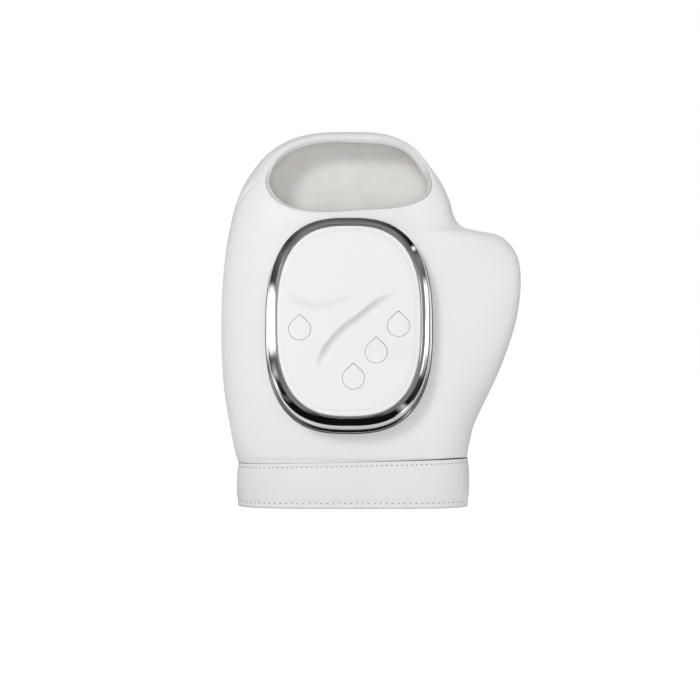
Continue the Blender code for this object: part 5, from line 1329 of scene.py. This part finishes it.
for name, shares, middle, spread, depth, thickness in (
    ("back", (0.19, 0.85), -8, 3, BACK_BAG_DEPTH, BACK_BAG),
    ("palm", (0.19, 0.81), 8, 3, PALM_BAG_DEPTH, PALM_BAG),
    ("thumb", (0.4, 0.68), 0, 2, THUMB_BAG_DEPTH, THUMB_BAG),
):
    bag = flat_bag(f"{name}_bag", shares, middle, spread, depth, thickness)
    finished(smooth_shaded(bag), bag_film, "air_bag", f"{name}_airbag", pad=0.3)
    if name != "thumb":
        film = flat_bag(f"{name}_warm_film", shares, middle, spread, depth + thickness + FILM_GAP, FILM, 1)
        finished(smooth_shaded(film), warm_film, "heating_film", f"{name}_heating_pad", pad=0.1)

# %% [markdown]
# ## The valve's spring
#
# The plunger shortens this spring when the coil draws it in. So the spring is a piece of its own, with a mesh
# of its own.

# %% The spring, a round wire swept along a helix
SPRING_COILS, SPRING_WIRE = 5, 0.24 * MM
SPRING_STEPS, WIRE_SIDES = 120, 10
low, high = (np.array(corner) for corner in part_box("valve_spring"))
coil_radius = (high[1] - low[1]) / 2 - SPRING_WIRE
turn = np.linspace(0, SPRING_COILS * 2 * pi, SPRING_STEPS + 1)
centre = (low + high) / 2
along = np.linspace(low[0] + SPRING_WIRE, high[0] - SPRING_WIRE, len(turn))
radial = np.stack([np.zeros(len(turn)), np.cos(turn), np.sin(turn)], axis=1)
helix = np.stack([along, np.full(len(turn), centre[1]), np.full(len(turn), centre[2])], axis=1) + radial * coil_radius
side = 2 * pi * np.arange(WIRE_SIDES) / WIRE_SIDES
rings = (helix[:, None] + SPRING_WIRE * (radial[:, None] * np.cos(side)[None, :, None]
                                         + np.array([1.0, 0, 0]) * np.sin(side)[None, :, None]))
spring = lofted("valve_coil_spring", rings)
finished(smooth_shaded(spring), steel, "steel", "valve_spring")
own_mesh(spring)
print(f"valve spring: x from {low[0] / MM:.2f} to {high[0] / MM:.2f} mm")

# %% [markdown]
# ## Finishes of the solids that stay
#
# Screws, cases, boards and motors have their true shape in the model, so they keep it and get a finish.
# Their material slots are filled in place; the meshes aren't touched.

# %% Give each remaining solid its finish
by_slot = {
    "foam": foam, "air_bag": bag_film, "heating_film": warm_film, "rubber_hose": hose_rubber,
    "white_leather": mitten_leather, "grey_lining": lining_cloth, "chrome": plating,
    "white_plastic": panel_plastic, "case_plastic": case_plastic, "steel": steel, "circuit_board": board,
    "black_plastic": black_plastic, "battery_sleeve": battery_sleeve, "copper": copper, "brass": brass,
    "silicone": silicone,
}
count = 0
for node in nodes.values():
    for place in node.material_slots:
        place.material = by_slot[place.material.name.split(".")[0]]
        count += 1
print(f"{count} material slots of solids filled")

# %% [markdown]
# ## The studio
#
# The photograph shows the mitten on pure white, with a soft light from the upper left and an even fill. The
# black lines in the bright ring look like the reflections of dark cards. Here a key, a front, a side and a
# back lamp stand in an even pale world. What mirrors see is a tent with dark and bright cards, painted by
# direction. The floor adds some white of its own for the camera, so that it is white and yet darkens under
# the mitten.

# %% Floor
def seen_directly(tree):
    """One for rays that come from the camera, a mirror or clear matter, and nothing for light."""
    ray = tree.nodes.new("ShaderNodeLightPath")
    seen = combined(tree, ray.outputs["Is Camera Ray"], ray.outputs["Is Glossy Ray"], "MAXIMUM")
    return combined(tree, seen, ray.outputs["Is Transmission Ray"], "MAXIMUM")


nothing_chosen()
bpy.ops.mesh.primitive_plane_add(size=12, location=(0, 2.0, -0.1 * MM))
floor = named("studio_floor")
material, tree, shader, place = finish("floor_paper", (0.90, 0.90, 0.90), 0.9, mottle=(4, 0.004),
                                       uneven=(8, 0.02), specular=0.1)
bump(tree, shader, noise(tree, place, 600), 0.05 * MM, 0.2)
FLOOR_GLOW = 0.48
glow = tree.nodes.new("ShaderNodeEmission")
tree.links.new(combined(tree, seen_directly(tree), FLOOR_GLOW, "MULTIPLY"), glow.inputs["Strength"])
both = tree.nodes.new("ShaderNodeAddShader")
tree.links.new(shader.outputs["BSDF"], both.inputs[0])
tree.links.new(glow.outputs["Emission"], both.inputs[1])
tree.links.new(both.outputs["Shader"], tree.nodes["Material Output"].inputs["Surface"])
floor.data.materials.append(material)

# %% World: even light, and white to the camera and to mirrors
WORLD_LIGHT = 0.585
world = bpy.data.worlds.new("studio")
bpy.context.scene.world = world
world.use_nodes = True
tree = world.node_tree
plain = tree.nodes["Background"]
plain.inputs["Color"].default_value = (1, 1, 1, 1)
plain.inputs["Strength"].default_value = WORLD_LIGHT
seen = tree.nodes.new("ShaderNodeBackground")
seen.inputs["Color"].default_value = (1, 1, 1, 1)
mix = tree.nodes.new("ShaderNodeMixShader")
tree.links.new(seen_directly(tree), mix.inputs["Fac"])
tree.links.new(plain.outputs["Background"], mix.inputs[1])
tree.links.new(seen.outputs["Background"], mix.inputs[2])
tree.links.new(mix.outputs["Shader"], tree.nodes["World Output"].inputs["Surface"])

# %% Lamps: name, direction from the mitten, distance and size in metres, power in watts
LAMPS = (
    ("key", (-0.35, -1, 0.45), 2.1, 0.5, 13.2),
    ("front", (0, -1, -0.01), 1.95, 0.3, 6.0),
    ("right", (1, -0.5, 0.1), 1.6, 0.8, 2.0),
    ("back", (0.15, 1, 0.3), 2.4, 0.9, 10),
)
middle = Vector((CENTRE_X, 0, HEIGHT / 2))
for name, direction, distance, size, power in LAMPS:
    lamp = bpy.data.lights.new(name, "AREA")
    lamp.shape, lamp.size, lamp.energy = "DISK", size, power
    lamp_object = bpy.data.objects.new(name, lamp)
    lamp_object.location = middle + Vector(direction).normalized() * distance
    lamp_object.rotation_euler = (-Vector(direction)).to_track_quat("-Z", "Y").to_euler()
    bpy.context.scene.collection.objects.link(lamp_object)

# %% [markdown]
# ### A tent for the bright ring
#
# A photographer who shoots chrome on white puts dark and bright cards round it, or it melts into the
# background. The tent here is a large sphere, and a sheet on the floor, that only mirrors see, so they neither
# light nor shade the mitten. A mirror shows the card that lies halfway round from the lens, so each place on
# the tent belongs to one way that the ring can face: `turn` is the side that it faces, from the right by way
# of the top, and `slope` is how steeply it falls away from the panel. Each ramp is one band of the ring, from
# its flat bead to its steep foot.

# %% Paint the tent by direction
TENT_RADIUS = 1.6
GREY = {"black": 0.006, "dark": 0.045, "slate": 0.13, "mid": 0.24, "pale": 0.6, "white": 1.5}
INNER_BAND = ((0, "mid"), (18, "mid"), (36, "slate"), (60, "mid"), (90, "mid"), (118, "mid"),
              (140, "slate"), (154, "mid"), (165, "slate"), (171, "slate"), (173, "white"), (186, "white"),
              (189, "slate"), (215, "mid"), (236, "mid"), (247, "dark"), (256, "black"), (284, "black"),
              (296, "slate"), (312, "mid"), (340, "mid"), (360, "mid"))
MIDDLE_BAND = ((0, "white"), (8, "white"), (13, "slate"), (24, "mid"), (30, "dark"), (32, "white"),
               (35, "black"), (60, "dark"), (90, "slate"), (125, "slate"), (140, "dark"), (154, "slate"),
               (170, "dark"), (173, "white"), (186, "white"), (189, "dark"), (197, "pale"), (203, "dark"),
               (216, "black"), (222, "slate"), (228, "black"), (300, "black"), (308, "pale"), (312, "black"),
               (338, "dark"), (350, "pale"), (354, "white"), (360, "white"))
OUTER_BAND = ((0, "dark"), (20, "slate"), (34, "black"), (60, "black"), (130, "black"), (150, "dark"),
              (170, "black"), (175, "white"), (184, "white"), (188, "black"), (196, "slate"), (206, "white"),
              (214, "pale"), (222, "black"), (250, "black"), (295, "black"), (305, "white"), (318, "slate"),
              (332, "black"), (348, "dark"), (360, "dark"))
INNER_SLOPE, OUTER_SLOPE = 30, 53
BAND_BLUR = 3

tent_paint = bpy.data.materials.new("tent_paint")
tent_paint.use_nodes = True
tree = tent_paint.node_tree
tree.nodes.clear()
output = tree.nodes.new("ShaderNodeOutputMaterial")
emission = tree.nodes.new("ShaderNodeEmission")
tree.links.new(emission.outputs["Emission"], output.inputs["Surface"])
place = tree.nodes.new("ShaderNodeTexCoord").outputs["Object"]
TO_LENS = (0, -1, 0)


def vector_step(operation, source, other=None):
    """A vector-math node. Only the dot product gives a number, all others give a vector."""
    node = tree.nodes.new("ShaderNodeVectorMath")
    node.operation = operation
    if other is not None:
        node.inputs[1].default_value = other
    tree.links.new(source, node.inputs[0])
    return node.outputs["Value" if operation == "DOT_PRODUCT" else "Vector"]


direction = vector_step("NORMALIZE", vector_step("SUBTRACT", place, MODULE_ORIGIN))
halfway = vector_step("NORMALIZE", vector_step("ADD", direction, TO_LENS))


def along_axis(axis):
    return vector_step("DOT_PRODUCT", halfway, axis)


turn = combined(tree, along_axis(ALONG), along_axis(ACROSS), "ARCTAN2")
turn = combined(tree, combined(tree, turn, 2 * pi, "ADD"), 2 * pi, "MODULO")
turn = combined(tree, turn, 2 * pi, "DIVIDE")
slope = tree.nodes.new("ShaderNodeMath")
slope.operation = "ARCCOSINE"
tree.links.new(along_axis(OUT), slope.inputs[0])


def band(stops):
    return ramp(tree, turn, [(degrees / 360, (GREY[tone],) * 3) for degrees, tone in stops])


def blend_between(first, second, middle_degrees):
    share = tree.nodes.new("ShaderNodeMapRange")
    share.interpolation_type = "SMOOTHSTEP"
    share.inputs["From Min"].default_value = radians(middle_degrees - BAND_BLUR)
    share.inputs["From Max"].default_value = radians(middle_degrees + BAND_BLUR)
    tree.links.new(slope.outputs["Value"], share.inputs["Value"])
    mix = tree.nodes.new("ShaderNodeMix")
    mix.data_type = "RGBA"
    tree.links.new(share.outputs["Result"], mix.inputs[0])
    tree.links.new(first, mix.inputs[6])
    tree.links.new(second, mix.inputs[7])
    return mix.outputs[2]


inner_to_middle = blend_between(band(INNER_BAND), band(MIDDLE_BAND), INNER_SLOPE)
tree.links.new(blend_between(inner_to_middle, band(OUTER_BAND), OUTER_SLOPE), emission.inputs["Color"])

nothing_chosen()
bpy.ops.mesh.primitive_uv_sphere_add(segments=48, ring_count=24, radius=TENT_RADIUS, location=MODULE_ORIGIN)
tent = named("studio_tent")
nothing_chosen()
bpy.ops.mesh.primitive_circle_add(vertices=64, radius=TENT_RADIUS, fill_type="NGON", location=(0, 0, 0.4 * MM))
tent_floor = named("studio_tent_floor")
for sheet in (tent, tent_floor):
    sheet.data.materials.append(tent_paint)
    sheet.visible_camera = sheet.visible_diffuse = sheet.visible_shadow = sheet.visible_transmission = False

# %% [markdown]
# ### Camera
#
# The photograph looks straight at the back of the hand from nearly two metres, a little below the middle of
# the panel. Its scale is 0.672 mm a pixel in the mitten's middle plane.

# %% Camera
CAMERA_PLACE = (-14.1 * MM, -1888 * MM, 104.3 * MM)
PIXELS, MM_PER_PIXEL = 700, 0.672
CAMERA_DISTANCE, PICTURE_WIDTH = 1900 * MM, PIXELS * MM_PER_PIXEL * MM
SENSOR_WIDTH = 36
camera = bpy.data.objects.new("camera", bpy.data.cameras.new("camera"))
camera.location = CAMERA_PLACE
camera.rotation_euler = (pi / 2, 0, 0)
camera.data.sensor_width = SENSOR_WIDTH
camera.data.lens = SENSOR_WIDTH * CAMERA_DISTANCE / PICTURE_WIDTH
bpy.context.scene.collection.objects.link(camera)
bpy.context.scene.camera = camera
bpy.context.scene.view_settings.view_transform = "Standard"
